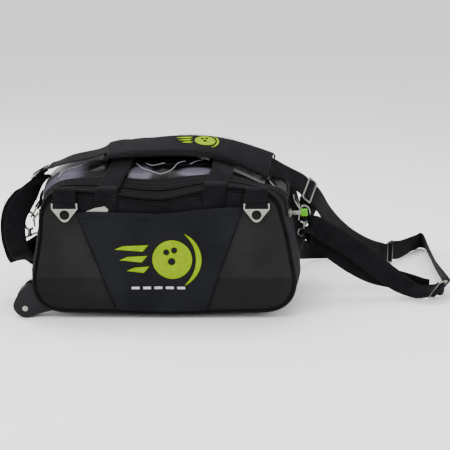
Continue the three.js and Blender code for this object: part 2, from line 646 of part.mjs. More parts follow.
// ---------------------------------------------------------------- left strap loop
const leftOuter = [
  [[-228.6, -4.7, 229], [0.587, 0.776, 0.233]],
  [[-238.5, 2, 214], [0.7, 0.68, 0.2]],
  [[-254, 4, 192], [0.88, 0.45, 0.15]],
  [[-273, -9, 168], [0.93, 0.36, 0.05]],
  [[-279, -15, 144], [0.9, 0.43, 0]],
  [[-279, -13, 116], [0.9, 0.43, -0.05]],
  [[-277, -9, 101], [0.9, 0.4, -0.05]],
  [[-272, -10, 85], [0.95, 0.25, -0.1]],
  [[-267, -4, 73], [0.93, 0.3, -0.05]],
  [[-263, 6, 70.5], [0.88, 0.45, 0.05]],
  [[-259, 9, 80], [0.8, 0.6, 0.1]],
  [[-256, 7.5, 90], [0.7, 0.7, 0.12]],
  [[-253, 3.8, 98], [0.68, 0.7, 0.12]],
];
add('strap_left_outer', ribbon(leftOuter, 50), webbing());
const leftInner = [
  [[-217.5, -13, 229.7], [0.587, 0.776, 0.233]],
  [[-230.5, -17, 213], [0.62, 0.77, 0.1]],
  [[-243.5, -26, 198], [0.8, 0.55, 0.1]],
  [[-255, -31, 182], [0.93, 0.3, 0.1]],
  [[-265, -34, 164], [0.98, 0.15, 0.05]],
  [[-269, -36, 142], [1, 0.05, 0]],
  [[-269, -35, 122], [1, 0.05, 0]],
];
add('strap_left_inner', ribbon(leftInner, 28), webbing());

// ---------------------------------------------------------------- right strap
const strandA = [
  [[264, -4.5, 192.5], [0.33, 0.69, 0.63]],
  [[275, 5, 176], [0.25, 0.6, 0.75]],
  [[292, 32, 146], [0.12, 0.45, 0.88]],
  [[316, 70, 111], [0.05, 0.25, 0.96]],
  [[348, 116, 75], [0, 0.1, 1]],
  [[386, 160, 45], [-0.05, 0.05, 1]],
  [[412, 188, 30], [-0.03, 0.02, 1]],
  [[422.5, 197.5, 24.6], [0, 0, 1]],
];
add('strap_upper', ribbon(strandA, 28), webbing());
const strandF = [
  [[258, 4, 192], [0.33, 0.69, 0.63]],
  [[261, 24, 173], [0.3, 0.7, 0.6]],
  [[252, 62, 128], [0.18, 0.55, 0.8]],
  [[246, 96, 98], [0.12, 0.45, 0.88]],
  [[244, 140, 64], [0.05, 0.25, 0.97]],
  [[252, 196, 34], [0, 0.1, 1]],
  [[282, 232, 22.5], [0, 0, 1]],
  [[322, 240, 20.5], [0, 0, 1]],
  [[366, 228, 20.5], [0, 0, 1]],
  [[404, 213, 21], [0, 0, 1]],
  [[422.5, 204.5, 22.5], [0, 0, 1]],
];
add('strap_lower', ribbon(strandF, 34), webbing());
const cornerRun = [
  [[442.2, 222.6, 22], [0, 0, 1]],
  [[456, 240, 20], [0, -0.05, 1]],
  [[478, 268, 19.4], [0, -0.25, 0.97]],
  [[497, 293, 19.7], [-0.05, -0.45, 0.88]],
  [[511, 309, 19.3], [-0.2, -0.4, 0.87]],
  [[517.5, 302, 19.6], [-0.27, -0.15, 0.95]],
  [[518.5, 282, 19], [-0.25, 0, 1]],
  [[517, 240, 18.8], [-0.27, 0, 1]],
  [[514, 172, 18.8], [-0.3, 0, 1]],
  [[513, 110, 18.8], [-0.34, 0, 1]],
  [[512, 56, 19], [-0.2, -0.1, 1]],
  [[508, 12, 19.4], [0.1, -0.3, 0.95]],
  [[502.5, -5.5, 20.2], [0.37, -0.47, 0.8]],
];
add('strap_corner', ribbon(cornerRun, 44), webbing());
const strandB = [
  [[261, -11, 138], [0.35, 0, 0.94]],
  [[282, -10, 127], [0.42, 0, 0.9]],
  [[307, -9, 112], [0.45, 0, 0.88]],
  [[330, -9, 97], [0.5, 0, 0.86]],
  [[354, -9, 80], [0.52, 0, 0.85]],
  [[393, -10, 50], [0.52, 0, 0.85]],
  [[418, -15, 33], [0.4, -0.15, 0.9]],
  [[440, -22, 22], [0.2, -0.45, 0.87]],
  [[460, -27.5, 18], [0.25, -0.55, 0.78]],
  [[473.6, -27.4, 19.6], [0.34, -0.5, 0.8]],
];
add('strap_front', ribbon(strandB, 28), webbing());
const strandE = [
  [[263, 5, 116], [0.35, 0, 0.94]],
  [[284, 6, 101], [0.5, 0, 0.86]],
  [[312, 6, 79], [0.5, 0, 0.86]],
  [[345, 6, 57], [0.45, 0, 0.9]],
  [[376, 6, 42], [0.35, 0, 0.94]],
  [[406, 3, 35], [0.2, -0.1, 0.97]],
  [[440, -6, 29], [0.2, -0.3, 0.93]],
  [[462, -16, 25.5], [0.28, -0.45, 0.85]],
  [[472.5, -20, 24.8], [0.34, -0.47, 0.8]],
];
add('strap_back', ribbon(strandE, 26), webbing());

// ---------------------------------------------------------------- end rings and snap hooks
for (const side of [-1, 1]) {
  const word = side < 0 ? 'left' : 'right';
  const tabZ = side < 0 ? 175 : 187;
  const barX0 = side < 0 ? 229.5 : 227;
  const barCentre = V(side * barX0, -3, tabZ);
  const down = V(side * 0.55, 0, -0.835);
  const local = (a, b) => {
    const p = barCentre.clone().addScaledVector(down, b);
    return [p.x, p.y + a, p.z];
  };
  const dPath = [[-20, 0], [-10, 0], [0, 0], [10, 0], [20, 0], [21, 9], [17, 19], [8, 25], [0, 26.5], [-8, 25],
    [-17, 19], [-21, 9]].map(([a, b]) => local(a, b));
  add(`end_ring_${word}`, wire(dPath, 1.9, 60, true), nickel());
  const fold = [];
  const turn = [...Array(9).keys()].map((i) => -0.15 * Math.PI + (i / 8) * 1.2 * Math.PI);
  turn.forEach((a) => fold.push([barCentre.x + side * Math.sin(a + 0.45 * Math.PI) * 3.6,
    tabZ + Math.cos(a + 0.45 * Math.PI) * 3.6]));
  [[3.2, 8], [5, 16], [6.6, 24]].forEach(([a, b]) => fold.push([side * (barX0 - a), tabZ + b]));
  const tabShape = stripProfile(fold, 1.6);
  const tab = new THREE.ExtrudeGeometry(tabShape, { depth: 36, bevelEnabled: false });
  tab.applyMatrix4(basis(V(1, 0, 0), V(0, 0, 1), V(0, -1, 0), V(0, barCentre.y + 18, 0)));
  add(`end_tab_${word}`, tab, webbing());

  // Trigger snap: a hooked body with a sprung gate, a swivel eye and a loop for the webbing.
  const hx = side * (barX0 + 19);
  const hz = tabZ - 31;
  const hook = wire([
    [hx + side * 8.6, -3, hz - 6], [hx + side * 10, -3, hz + 4], [hx + side * 7, -3, hz + 13],
    [hx, -3, hz + 17], [hx - side * 7.5, -3, hz + 13.5], [hx - side * 10, -3, hz + 6.5],
  ], 2.1, 16);
  const neck = rod(3.4, 9, V(hx, -3, hz - 19.5), V(0, 0, 1), 14);
  const foot = wire([[hx + side * 8.6, -3, hz - 5], [hx + side * 7, -3, hz - 11], [hx, -3, hz - 15.5],
    [hx - side * 6.5, -3, hz - 12.5]], 2.4, 8);
  add(`hook_gate_${word}`, rod(1.8, 14, V(hx - side * 9.4, -3, hz - 3.4), V(side * 0.06, 0, 1), 10), nickel());
  const loopZ = hz - 25.5;
  const eye = rod(4.2, 5, V(hx, -3, loopZ + 0.4), V(0, 0, 1), 14);
  const w = side < 0 ? V(0.6, 0.79, 0.12).normalize() : V(0.5, 0.82, -0.25).normalize();
  const corner = (a, b) => [hx + w.x * a, -3 + w.y * a, loopZ - 1.5 + w.z * a - b];
  const eyeLoop = wire([corner(-15, 0), corner(0, 0), corner(15, 0), corner(21.5, 3.5), corner(22.5, 7.5),
    corner(20.5, 10.5), corner(0, 11.5), corner(-20.5, 10.5), corner(-22.5, 7.5),
    corner(-21.5, 3.5)], 1.7, 44, true);
  add(`snap_hook_${word}`, joined(hook, foot, neck, eye, eyeLoop), nickel());
}

// ---------------------------------------------------------------- zip sliders
const HANG = THREE.MathUtils.degToRad(28);
for (const side of [-1, 1]) {
  const word = side < 0 ? 'left' : 'right';
  const y = -78;
  const z = zipBack(y);
  const surface = bodyPoint(arcAtHeight(z), y);
  const along = V(side * 0.15, 0.97, 0.25).normalize();
  const out = V(side, 0, 0.12);
  out.addScaledVector(along, -out.dot(along)).normalize();
  const at = V(surface.x * side, y, z).addScaledVector(out, 4.6);
  const block = new THREE.BoxGeometry(5, 14, 9);
  const up = out.clone().cross(along).normalize();
  add(`zip_slider_${word}`, block, nickel(), basis(out, along, up, at));
  const root = at.clone().addScaledVector(out, 3.2);
  if (side > 0) {
    const pull = new THREE.BoxGeometry(17, 2, 7).translate(8.8, 0, 0);
    const tag = new THREE.BoxGeometry(11, 5, 12).translate(22, 0, 0);
    add('zip_pull_right', joined(pull, tag), finish(0x6ebe19, 0.6), basis(out, along, up, root));
  } else {
    // The left pull hangs down beside the body.
    const hang = up.clone().multiplyScalar(Math.cos(HANG)).addScaledVector(out, Math.sin(HANG));
    const pull = new THREE.BoxGeometry(17, 7, 2).translate(9.3, 0, 0);
    add('zip_pull_left', pull, nickel(), basis(hang, along, hang.clone().cross(along), root));
  }
}

export default bag;
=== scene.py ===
"""Looks of the rolling bowling bag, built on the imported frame: padded nylon shell, clear lid,
webbing straps, hardware, stitching and studio."""
import math

import bmesh
import bpy
import numpy as np
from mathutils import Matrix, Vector, noise
from mathutils.bvhtree import BVHTree


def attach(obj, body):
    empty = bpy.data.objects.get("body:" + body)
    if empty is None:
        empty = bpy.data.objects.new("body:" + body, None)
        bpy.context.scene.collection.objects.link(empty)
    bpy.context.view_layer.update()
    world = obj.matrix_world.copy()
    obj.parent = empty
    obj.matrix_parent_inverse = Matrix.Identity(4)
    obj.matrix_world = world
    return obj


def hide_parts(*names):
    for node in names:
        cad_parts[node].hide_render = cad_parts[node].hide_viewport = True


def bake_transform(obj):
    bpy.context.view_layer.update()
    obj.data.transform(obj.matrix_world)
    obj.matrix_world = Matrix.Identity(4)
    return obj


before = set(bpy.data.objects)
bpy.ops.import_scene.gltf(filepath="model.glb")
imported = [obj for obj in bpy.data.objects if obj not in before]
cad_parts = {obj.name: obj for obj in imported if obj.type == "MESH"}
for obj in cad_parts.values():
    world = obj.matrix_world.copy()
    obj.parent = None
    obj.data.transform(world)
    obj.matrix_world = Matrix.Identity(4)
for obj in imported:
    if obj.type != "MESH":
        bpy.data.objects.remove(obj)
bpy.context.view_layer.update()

# ------------------------------------------------------------------ sizes, in metres
MM = 0.001
HALF_WIDE, Z_WIDE = 0.2255, 0.070         # widest place of the front panel
HALF_HIGH, Z_HIGH = 0.2045, 0.188         # where its top corner starts
HALF_TOP, HALF_UNDER = 0.160, 0.165       # half lengths of its straight top and bottom edges
Z_UNDER, Z_TOP = 0.014, 0.229
HALF_DEPTH = 0.117
CROWN, FALL_LEFT, FALL_RIGHT, DOME_HALF = 0.050, 0.4, 0.72, 0.148
END_BULGE, END_BULGE_HIGH, WHEEL_BULGE = 0.015, 0.009, 0.008
SHOULDER_LEFT, SHOULDER_RIGHT = 0.010, 0.022   # the soft corners of the lid stand out over the zip
SHOULDER_LOW, SHOULDER_RISE = 0.186, 0.028     # the height where they start, and how soon they are full
REAR_SWELL = 0.030                             # the right end's rear half, behind its hook
LID_FRONT, LID_REAR = -0.105, 0.108
LID_LOW, LID_BACK_LOW = 0.175, 0.227
ZIP_SLANT = 0.26
WEBBING, STRAP_THICK = 0.038, 0.0018
SAG, SAG_X, SAG_LEFT, SAG_RIGHT = 0.0145, -0.008, 0.085, 0.052   # the front's top edge between the handles
PEAK, PEAK_X, PEAK_WIDE = 0.0055, 0.109, 0.035                    # and where the right ball lifts it
BALL_X, BALL_Z, BALL_SIZE, BALL_BULGE = 0.109, 0.115, 0.085, 0.0055
LEAN = 0.0035                                                     # the front's top corners both lean left
UNDER_SAG, UNDER_SAG_X = 0.004, 0.01


def lerp(a, b, t):
    return a + (b - a) * t


def steps(a, b, count):
    """count + 1 even values from a to b."""
    return [lerp(a, b, i / count) for i in range(count + 1)]


def smooth(t):
    t = min(1.0, max(0.0, t))
    return t * t * (3 - 2 * t)


def wave3(p, size, seed=0.0):
    """Smooth noise from -1 to 1 with features of about that size."""
    return noise.noise(Vector(p) / size + Vector((seed, seed * 1.7, -seed)))


# ------------------------------------------------------------------ body outline
def outline_points():
    lean = (HALF_WIDE - HALF_HIGH) / (Z_HIGH - Z_WIDE)
    corner = HALF_HIGH - lean * (Z_TOP - Z_HIGH)

    def quad(a, b, c, n=60):
        t = np.linspace(0, 1, n, endpoint=False)[:, None]
        return (1 - t) ** 2 * np.array(a) + 2 * t * (1 - t) * np.array(b) + t ** 2 * np.array(c)

    def line(a, b, n=60):
        t = np.linspace(0, 1, n, endpoint=False)[:, None]
        return (1 - t) * np.array(a) + t * np.array(b)

    right = np.vstack([
        line((0, Z_UNDER), (HALF_UNDER, Z_UNDER)),
        quad((HALF_UNDER, Z_UNDER), (HALF_WIDE, Z_UNDER), (HALF_WIDE, Z_WIDE)),
        line((HALF_WIDE, Z_WIDE), (HALF_HIGH, Z_HIGH)),
        quad((HALF_HIGH, Z_HIGH), (corner, Z_TOP), (HALF_TOP, Z_TOP)),
        line((HALF_TOP, Z_TOP), (0, Z_TOP)),
    ])
    left = right[1:][::-1] * np.array([-1, 1])
    return np.vstack([right, [[0, Z_TOP]], left, [[0, Z_UNDER]]])


OUT = outline_points()
ARC = np.concatenate([[0], np.cumsum(np.hypot(*np.diff(OUT, axis=0).T))])
ARC /= ARC[-1]


def out_at(s):
    s = s % 1.0
    return float(np.interp(s, ARC, OUT[:, 0])), float(np.interp(s, ARC, OUT[:, 1]))


def out_normal(s, h=0.006):
    (x0, z0), (x1, z1) = out_at(s - h), out_at(s + h)
    n = math.hypot(x1 - x0, z1 - z0)
    return (z1 - z0) / n, -(x1 - x0) / n


def arc_at_height(z):
    low, high = 0.05, 0.5
    for _ in range(40):
        mid = (low + high) / 2
        low, high = (mid, high) if out_at(mid)[1] < z else (low, mid)
    return low


def half_at(z, inset=0.0):
    """Half width of the outline at a height."""
    z = min(max(z, Z_UNDER + inset * 1.01), Z_TOP - inset * 1.01)
    zz = lerp(Z_UNDER, Z_TOP, (z - Z_UNDER - inset) / (Z_TOP - Z_UNDER - 2 * inset))
    return out_at(arc_at_height(zz))[0] * (HALF_WIDE - inset) / HALF_WIDE


def hump(x, middle, wide):
    """A smooth hill, 1 at its middle."""
    return math.exp(-((x - middle) / wide) ** 2)


def warp(p):
    """The soft body's sag: the top's front edge between the handles, and the underside."""
    x, y, z = p
    behind = y + HALF_DEPTH
    dip = SAG * hump(x, SAG_X, SAG_LEFT if x < SAG_X else SAG_RIGHT) - PEAK * hump(x, PEAK_X, PEAK_WIDE)
    z2 = z - dip * smooth((z - 0.185) / 0.04) * (1 - smooth(behind / 0.12))
    x -= (LEAN * smooth((z - 0.14) / 0.05) * smooth((abs(x) - 0.13) / 0.05)
          * (1 - smooth(behind / 0.025)))
    z2 -= (UNDER_SAG * hump(x, UNDER_SAG_X, 0.10) * smooth((0.09 - z) / 0.076)
           * smooth((-y - 0.05) / 0.06))
    return Vector((x, y, z2))


def dome_at(x):
    return CROWN * max(0.1, 1 - (FALL_LEFT if x < 0 else FALL_RIGHT) * (x / DOME_HALF) ** 2)


def end_bulge(x, z):
    """How far an end stands out: less towards its top, more over the wheels."""
    wheels = WHEEL_BULGE * (1 - smooth((z - 0.030) / 0.052)) if x < 0 else 0.0
    return lerp(END_BULGE, END_BULGE_HIGH, smooth((z - 0.130) / 0.055)) + wheels


def body_at(s, y, off=0.0, ripple=0.0):
    """Point of the padded shell: s goes round the outline, y is its depth and off stands outward."""
    x, z = out_at(s)
    nx, nz = out_normal(s)
    swell = dome_at(x) * max(nz, 0) ** 2 + end_bulge(x, z) * nx * nx
    shoulder = SHOULDER_LEFT if x < 0 else SHOULDER_RIGHT
    swell += shoulder * smooth((z - SHOULDER_LOW) / SHOULDER_RISE) * nx * nx
    if x > 0:
        swell += (REAR_SWELL * smooth((y - 0.012) / 0.04) * smooth((z - 0.06) / 0.04)
                  * smooth((0.215 - z) / 0.03) * nx * nx)
    across = max(0.0, 1 - (y / HALF_DEPTH) ** 2)
    if ripple:
        off += ripple * across * wave3((x, y * 1.4, z), 0.05, 3.1)
        off += ripple * 0.5 * across * wave3((x * 0.6, y, z * 1.9), 0.022, 8.4)
    d = swell * across + off
    return warp((x + nx * d, y, z + nz * d))


def lid_top(x, y):
    return Z_TOP + dome_at(x) * max(0.0, 1 - (y / HALF_DEPTH) ** 2)


# ------------------------------------------------------------------ materials
INPUTS = {"color": "Base Color", "rough": "Roughness", "metal": "Metallic", "alpha": "Alpha",
          "specular": "Specular IOR Level", "sheen": "Sheen Weight", "sheen_rough": "Sheen Roughness",
          "sheen_tint": "Sheen Tint", "coat": "Coat Weight", "coat_rough": "Coat Roughness"}


class Shader:
    """A material, with short names for its shader's inputs and for the nodes that feed them."""

    def __init__(self, name, **values):
        self.material = bpy.data.materials.new(name)
        self.material.use_nodes = True
        self.tree = self.material.node_tree
        self.inputs = self.tree.nodes["Principled BSDF"].inputs
        for key, value in values.items():
            self.inputs[INPUTS[key]].default_value = value

    def put(self, socket, value):
        if isinstance(value, bpy.types.NodeSocket):
            self.tree.links.new(value, socket)
        else:
            socket.default_value = value

    def node(self, kind, *sources, **values):
        """A new node: sources go into its first inputs, values into inputs or settings by name."""
        n = self.tree.nodes.new("ShaderNode" + kind)
        for key, value in values.items():
            if key in n.inputs:
                self.put(n.inputs[key], value)
            else:
                setattr(n, key, value)
        for socket, source in zip(n.inputs, sources):
            self.put(socket, source)
        return n

    def calc(self, operation, *sources):
        return self.node("Math", *sources, operation=operation).outputs[0]

    def plus(self, a, b):
        return self.calc("ADD", a, b)

    def times(self, a, b):
        return self.calc("MULTIPLY", a, b)

    def place(self, kind="Object"):
        return self.node("TexCoord").outputs[kind]

    def axes(self, kind="Object"):
        return self.node("SeparateXYZ", self.place(kind)).outputs

    def threads(self, along, pitch):
        """Ridges at that pitch: from -1 to 1."""
        return self.calc("SINE", self.times(along, 2 * math.pi / pitch))

    def noise(self, scale, detail, rough=0.6):
        return self.node("TexNoise", self.place(), Scale=scale, Detail=detail, Roughness=rough).outputs[0]

    def bump(self, height, strength, distance):
        n = self.node("Bump", Height=height, Strength=strength, Distance=distance)
        self.put(self.inputs["Normal"], n.outputs[0])

    def tint(self, source, low, high, dark, light):
        """Base colour: dark where source is low and light where it is high."""
        n = self.node("ValToRGB", source)
        for stop, position, color in zip(n.color_ramp.elements, (low, high), (dark, light)):
            stop.position, stop.color = position, (*color, 1)
        self.put(self.inputs["Base Color"], n.outputs[0])

    def roughen(self, source, low, high):
        self.put(self.inputs["Roughness"], self.node("MapRange", source, 0.0, 1.0, low, high).outputs[0])

    def blob(self, centre, size):
        """1 at a place on the object, falling smoothly to 0 at size away from it, in metres."""
        shift = self.node("VectorMath", self.place(), centre, operation="SUBTRACT").outputs[0]
        scaled = self.node("VectorMath", shift, size, operation="DIVIDE").outputs[0]
        far = self.node("VectorMath", scaled, operation="LENGTH").outputs["Value"]
        return self.node("MapRange", far, 1.15, 0.55, interpolation_type="SMOOTHSTEP").outputs[0]


def shade(color, k):
    return [min(1, c * k) for c in color]


def cloth_material(name, color, pitch=0.0011, rough=0.84, sheen=0.03, contrast=0.35):
    """Woven nylon: crossed threads, a soft crinkle and faded patches."""
    s = Shader(name, sheen=sheen, sheen_rough=0.45, sheen_tint=(0.8, 0.81, 0.88, 1), specular=0.07)
    x, y, z = (s.threads(axis, pitch) for axis in s.axes())
    weave = s.times(s.plus(x, y), z)
    crinkle = s.noise(70.0, 6.0)
    patches = s.noise(13.0, 4.0, 0.55)
    s.bump(s.plus(s.times(weave, 0.12), s.times(crinkle, 0.5)), 0.55, 0.0012)
    s.tint(s.plus(patches, s.times(weave, 0.05)), 0.32, 0.68,
           shade(color, 1 - contrast), shade(color, 1 + contrast))
    s.roughen(crinkle, rough - 0.08, rough + 0.08)
    return s.material


def webbing_material(name, color):
    """Webbing: ribs across it and a herringbone along the strap's own length, with some fuzz."""
    s = Shader(name, rough=0.82, sheen=0.03, sheen_rough=0.5, specular=0.06)
    across, along, _ = s.axes("UV")
    rib = s.threads(along, 0.0016)
    fold = s.calc("ABSOLUTE", s.calc("SUBTRACT", s.calc("FRACT", s.times(across, 5.0)), 0.5))
    bone = s.calc("SINE", s.plus(s.times(along, 2 * math.pi / 0.0032), s.times(fold, 14.0)))
    fuzz = s.noise(55.0, 5.0)
    height = s.plus(s.times(rib, 0.25), s.plus(s.times(bone, 0.25), s.times(fuzz, 0.4)))
    s.bump(height, 0.6, 0.0007)
    s.tint(s.plus(s.times(bone, 0.06), fuzz), 0.3, 0.72, shade(color, 0.62), shade(color, 1.5))
    return s.material


def metal_material(name, color):
    """Satin nickel, a little duller where it is worn."""
    s = Shader(name, metal=0.95)
    worn = s.noise(60.0, 5.0)
    s.bump(s.noise(420.0, 4.0), 0.12, 0.0004)
    s.tint(worn, 0.3, 0.75, shade(color, 0.75), color)
    s.roughen(worn, 0.20, 0.42)
    return s.material


def moulded_material(name, color, rough=0.48, grain=900.0, strength=0.18):
    """Moulded plastic or rubber: a fine grain and some dust."""
    s = Shader(name, specular=0.16)
    dust = s.noise(30.0, 5.0, 0.65)
    s.bump(s.noise(grain, 3.0), strength, 0.0004)
    s.tint(dust, 0.35, 0.75, shade(color, 0.8), shade(color, 1.3))
    s.roughen(dust, rough - 0.07, rough + 0.1)
    return s.material


# where the window lies near the pale lining: each place and its reach
PALE_PATCHES = [((-0.190, -0.02, 0.235), (0.062, 0.12, 0.07)),
                ((-0.042, -0.075, 0.250), (0.024, 0.022, 0.03)),
                ((0.054, -0.076, 0.250), (0.034, 0.014, 0.03))]


def vinyl_material(name):
    """Clear vinyl: glossy and coloured near black as painted shade of the interior under the lid, with the
    pale lining painted in where it shows through.
    """
    s = Shader(name, rough=0.20, alpha=0.90, specular=0.06, coat=0.02, coat_rough=0.06)
    haze = s.noise(16.0, 3.0, 0.5)
    s.bump(haze, 0.10, 0.002)
    near = [s.blob(centre, size) for centre, size in PALE_PATCHES]
    pale = s.calc("MAXIMUM", s.calc("MAXIMUM", near[0], near[1]), near[2])
    # near black is painted shade of the interior; pale at the listed places, where the lining shows through
    s.tint(s.times(pale, s.plus(haze, 0.35)), 0.05, 0.85, (0.003, 0.003, 0.0035), (0.080, 0.076, 0.100))
    return s.material


def embroidery_material(name, color):
    """Satin stitch: fine slanting threads with a soft gloss."""
    s = Shader(name, rough=0.6, specular=0.03)
    x, _, z = s.axes()
    thread = s.threads(s.plus(z, s.times(x, 0.35)), 0.0009)
    soft = s.noise(120.0, 4.0)
    s.bump(s.plus(s.times(thread, 0.5), soft), 0.5, 0.0005)
    s.tint(s.plus(soft, s.times(thread, 0.12)), 0.3, 0.75, shade(color, 0.72), color)
    return s.material


NYLON = cloth_material("nylon_black", (0.0060, 0.0060, 0.0073))
NAVY = cloth_material("nylon_pocket", (0.0080, 0.0083, 0.0100), pitch=0.0009, contrast=0.25)
CHARCOAL = cloth_material("ripstop_charcoal", (0.0130, 0.0127, 0.0128), pitch=0.0014, contrast=0.22)
# darker copy of the ripstop for the side panels' lower part: painted shade where they curve under
CHARCOAL_LOW_SHADE = cloth_material("ripstop_lower_painted_shade", (0.0088, 0.0095, 0.0090), pitch=0.0014, contrast=0.22)
LINING = cloth_material("lining_lavender", (0.30, 0.295, 0.36), pitch=0.0016, contrast=0.18, sheen=0.1)
WEB = webbing_material("webbing_black", (0.0040, 0.0041, 0.0050))
BINDING = cloth_material("binding_black", (0.0032, 0.0033, 0.0040), pitch=0.0008, rough=0.6)
THREAD = moulded_material("thread_dark", (0.014, 0.014, 0.017), 0.7)
NICKEL = metal_material("nickel_satin", (0.31, 0.325, 0.28))
PLASTIC = moulded_material("plastic_housing", (0.0065, 0.0068, 0.0078), 0.5)
RUBBER = moulded_material("rubber_tread", (0.007, 0.007, 0.0075), 0.62, 500.0, 0.3)
TAG = moulded_material("puller_tag_green", (0.090, 0.40, 0.0), 0.42)
FOAM = cloth_material("cup_foam", (0.16, 0.155, 0.19), pitch=0.002)
VINYL = vinyl_material("clear_vinyl")
# pale colour of the window's crease tubes: painted highlight
CREASE_GLINT = moulded_material("vinyl_crease_glint", (0.26, 0.26, 0.29), 0.3)
LIME = embroidery_material("embroidery_lime", (0.235, 0.37, 0.0))
SILVER = embroidery_material("embroidery_silver", (0.62, 0.62, 0.66))


# ------------------------------------------------------------------ mesh helpers
def add_object(name, data):
    o = bpy.data.objects.new(name, data)
    bpy.context.scene.collection.objects.link(o)
    return o


def piece(name, verts, faces, material, body="bag", replaces=(), slot=None, uvs=None, ride=True):
    me = bpy.data.meshes.new(name)
    me.from_pydata([tuple(v) for v in verts], [], faces)
    me.validate()
    me.shade_smooth()
    if uvs is not None:
        layer = me.uv_layers.new(name="UVMap")
        for loop in me.loops:
            layer.data[loop.index].uv = uvs[loop.vertex_index]
    me.materials.append(material)
    o = add_object(name, me)
    if ride:
        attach(o, body)
    if replaces:
        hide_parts(*replaces)
    return o


def tidy_normals(o):
    bm = bmesh.new()
    bm.from_mesh(o.data)
    bmesh.ops.recalc_face_normals(bm, faces=bm.faces)
    bm.to_mesh(o.data)
    bm.free()


def sheet_mesh(at, nu, nv, thick):
    """A closed curved sheet: at(u, v) is its outer face, and thick goes along inward."""
    outer = [[Vector(at(i / nu, j / nv)) for i in range(nu + 1)] for j in range(nv + 1)]
    verts, inner = [], []
    for j in range(nv + 1):
        for i in range(nu + 1):
            du = outer[j][min(i + 1, nu)] - outer[j][max(i - 1, 0)]
            dv = outer[min(j + 1, nv)][i] - outer[max(j - 1, 0)][i]
            n = du.cross(dv)
            if n.length < 1e-12:
                n = Vector((0, 0, 1))
            verts.append(outer[j][i])
            inner.append(outer[j][i] + n.normalized() * thick)
    row, count = nu + 1, len(verts)
    faces = []
    for j in range(nv):
        for i in range(nu):
            a = j * row + i
            faces.append((a, a + row, a + row + 1, a + 1))
            faces.append((count + a, count + a + 1, count + a + row + 1, count + a + row))
    for i in range(nu):
        faces.append((i, i + 1, count + i + 1, count + i))
        a = nv * row + i
        faces.append((a + 1, a, count + a, count + a + 1))
    for j in range(nv):
        a = j * row
        faces.append((a + row, a, count + a, count + a + row))
        a += nu
        faces.append((a, a + row, count + a + row, count + a))
    return verts + inner, faces


def sheet(name, at, nu, nv, thick, material, **kw):
    verts, faces = sheet_mesh(at, nu, nv, thick)
    o = piece(name, verts, faces, material, **kw)
    tidy_normals(o)
    return o


def spline(points, count):
    """Centripetal curve through the points, sampled evenly by parameter."""
    p = [np.array(q, float) for q in points]
    p = [2 * p[0] - p[1]] + p + [2 * p[-1] - p[-2]]
    spans = len(p) - 3
    result = []
    for k in range(count + 1):
        t = k / count * spans
        i = min(int(t), spans - 1)
        f = t - i
        p0, p1, p2, p3 = p[i:i + 4]
        d = [max(np.linalg.norm(b - a) ** 0.5, 1e-6) for a, b in ((p0, p1), (p1, p2), (p2, p3))]
        m1 = (p1 - p0) / d[0] - (p2 - p0) / (d[0] + d[1]) + (p2 - p1) / d[1]
        m2 = (p2 - p1) / d[1] - (p3 - p1) / (d[1] + d[2]) + (p3 - p2) / d[2]
        m1, m2 = m1 * d[1], m2 * d[1]
        c2, c3 = 3 * (p2 - p1) - 2 * m1 - m2, 2 * (p1 - p2) + m1 + m2
        result.append(p1 + m1 * f + c2 * f * f + c3 * f ** 3)
    return np.array(result)


RIM = 10                                                  # steps across each face of the webbing
RIM_ROUND = [(i, 1) for i in range(RIM + 1)] + [(i, -1) for i in range(RIM, -1, -1)]


def strap_path(stops, count):
    """A strap's middle and the direction across it, from stops that each give both, in millimetres."""
    middle = spline([[c * MM for c in p] for p, _ in stops], count)
    return middle, spline([np.array(w) / np.linalg.norm(w) for _, w in stops], count)


def strap_frame(middle, across, k):
    """The unit directions across a strap and out of its face, at step k."""
    t = middle[min(k + 1, len(middle) - 1)] - middle[max(k - 1, 0)]
    t /= np.linalg.norm(t)
    w = across[k] - t * across[k].dot(t)
    w /= np.linalg.norm(w)
    return w, np.cross(t, w)


def ribbon_rings(stops, count, width, thick, curl):
    """Sections of a flat strap, and each point's place over its width and along its length."""
    middle, across = strap_path(stops, count)
    rings, uvs, length = [], [], 0.0
    for k in range(count + 1):
        w, n = strap_frame(middle, across, k)
        if k:
            length += np.linalg.norm(middle[k] - middle[k - 1])
        ring = []
        for i, face in RIM_ROUND:
            a = -1 + 2 * i / RIM
            edge = face * (1 - 0.45 * abs(a) ** 8)
            ring.append(middle[k] + w * a * width / 2 + n * (thick / 2 * edge + curl * (a * a - 0.4)))
            uvs.append((i / RIM, length))
        rings.append(ring)
    return rings, uvs


def loft_faces(rings, closed=False):
    n, faces = len(rings[0]), []
    spans = len(rings) if closed else len(rings) - 1
    for i in range(spans):
        a0, b0 = i * n, ((i + 1) % len(rings)) * n
        for j in range(n):
            k = (j + 1) % n
            faces.append((a0 + j, a0 + k, b0 + k, b0 + j))
    if not closed:
        faces.append(tuple(range(n))[::-1])
        last = (len(rings) - 1) * n
        faces.append(tuple(last + j for j in range(n)))
    return faces


def loft(name, rings, material, closed=False, **kw):
    o = piece(name, [v for r in rings for v in r], loft_faces(rings, closed), material, **kw)
    tidy_normals(o)
    return o


def ribbon(name, stops, count, width=WEBBING, thick=STRAP_THICK, curl=0.0, **kw):
    """A strap of webbing; its stops' places are in millimetres."""
    rings, uvs = ribbon_rings(stops, count, width, thick, curl)
    return loft(name, rings, WEB, uvs=uvs, slot="webbing", **kw)


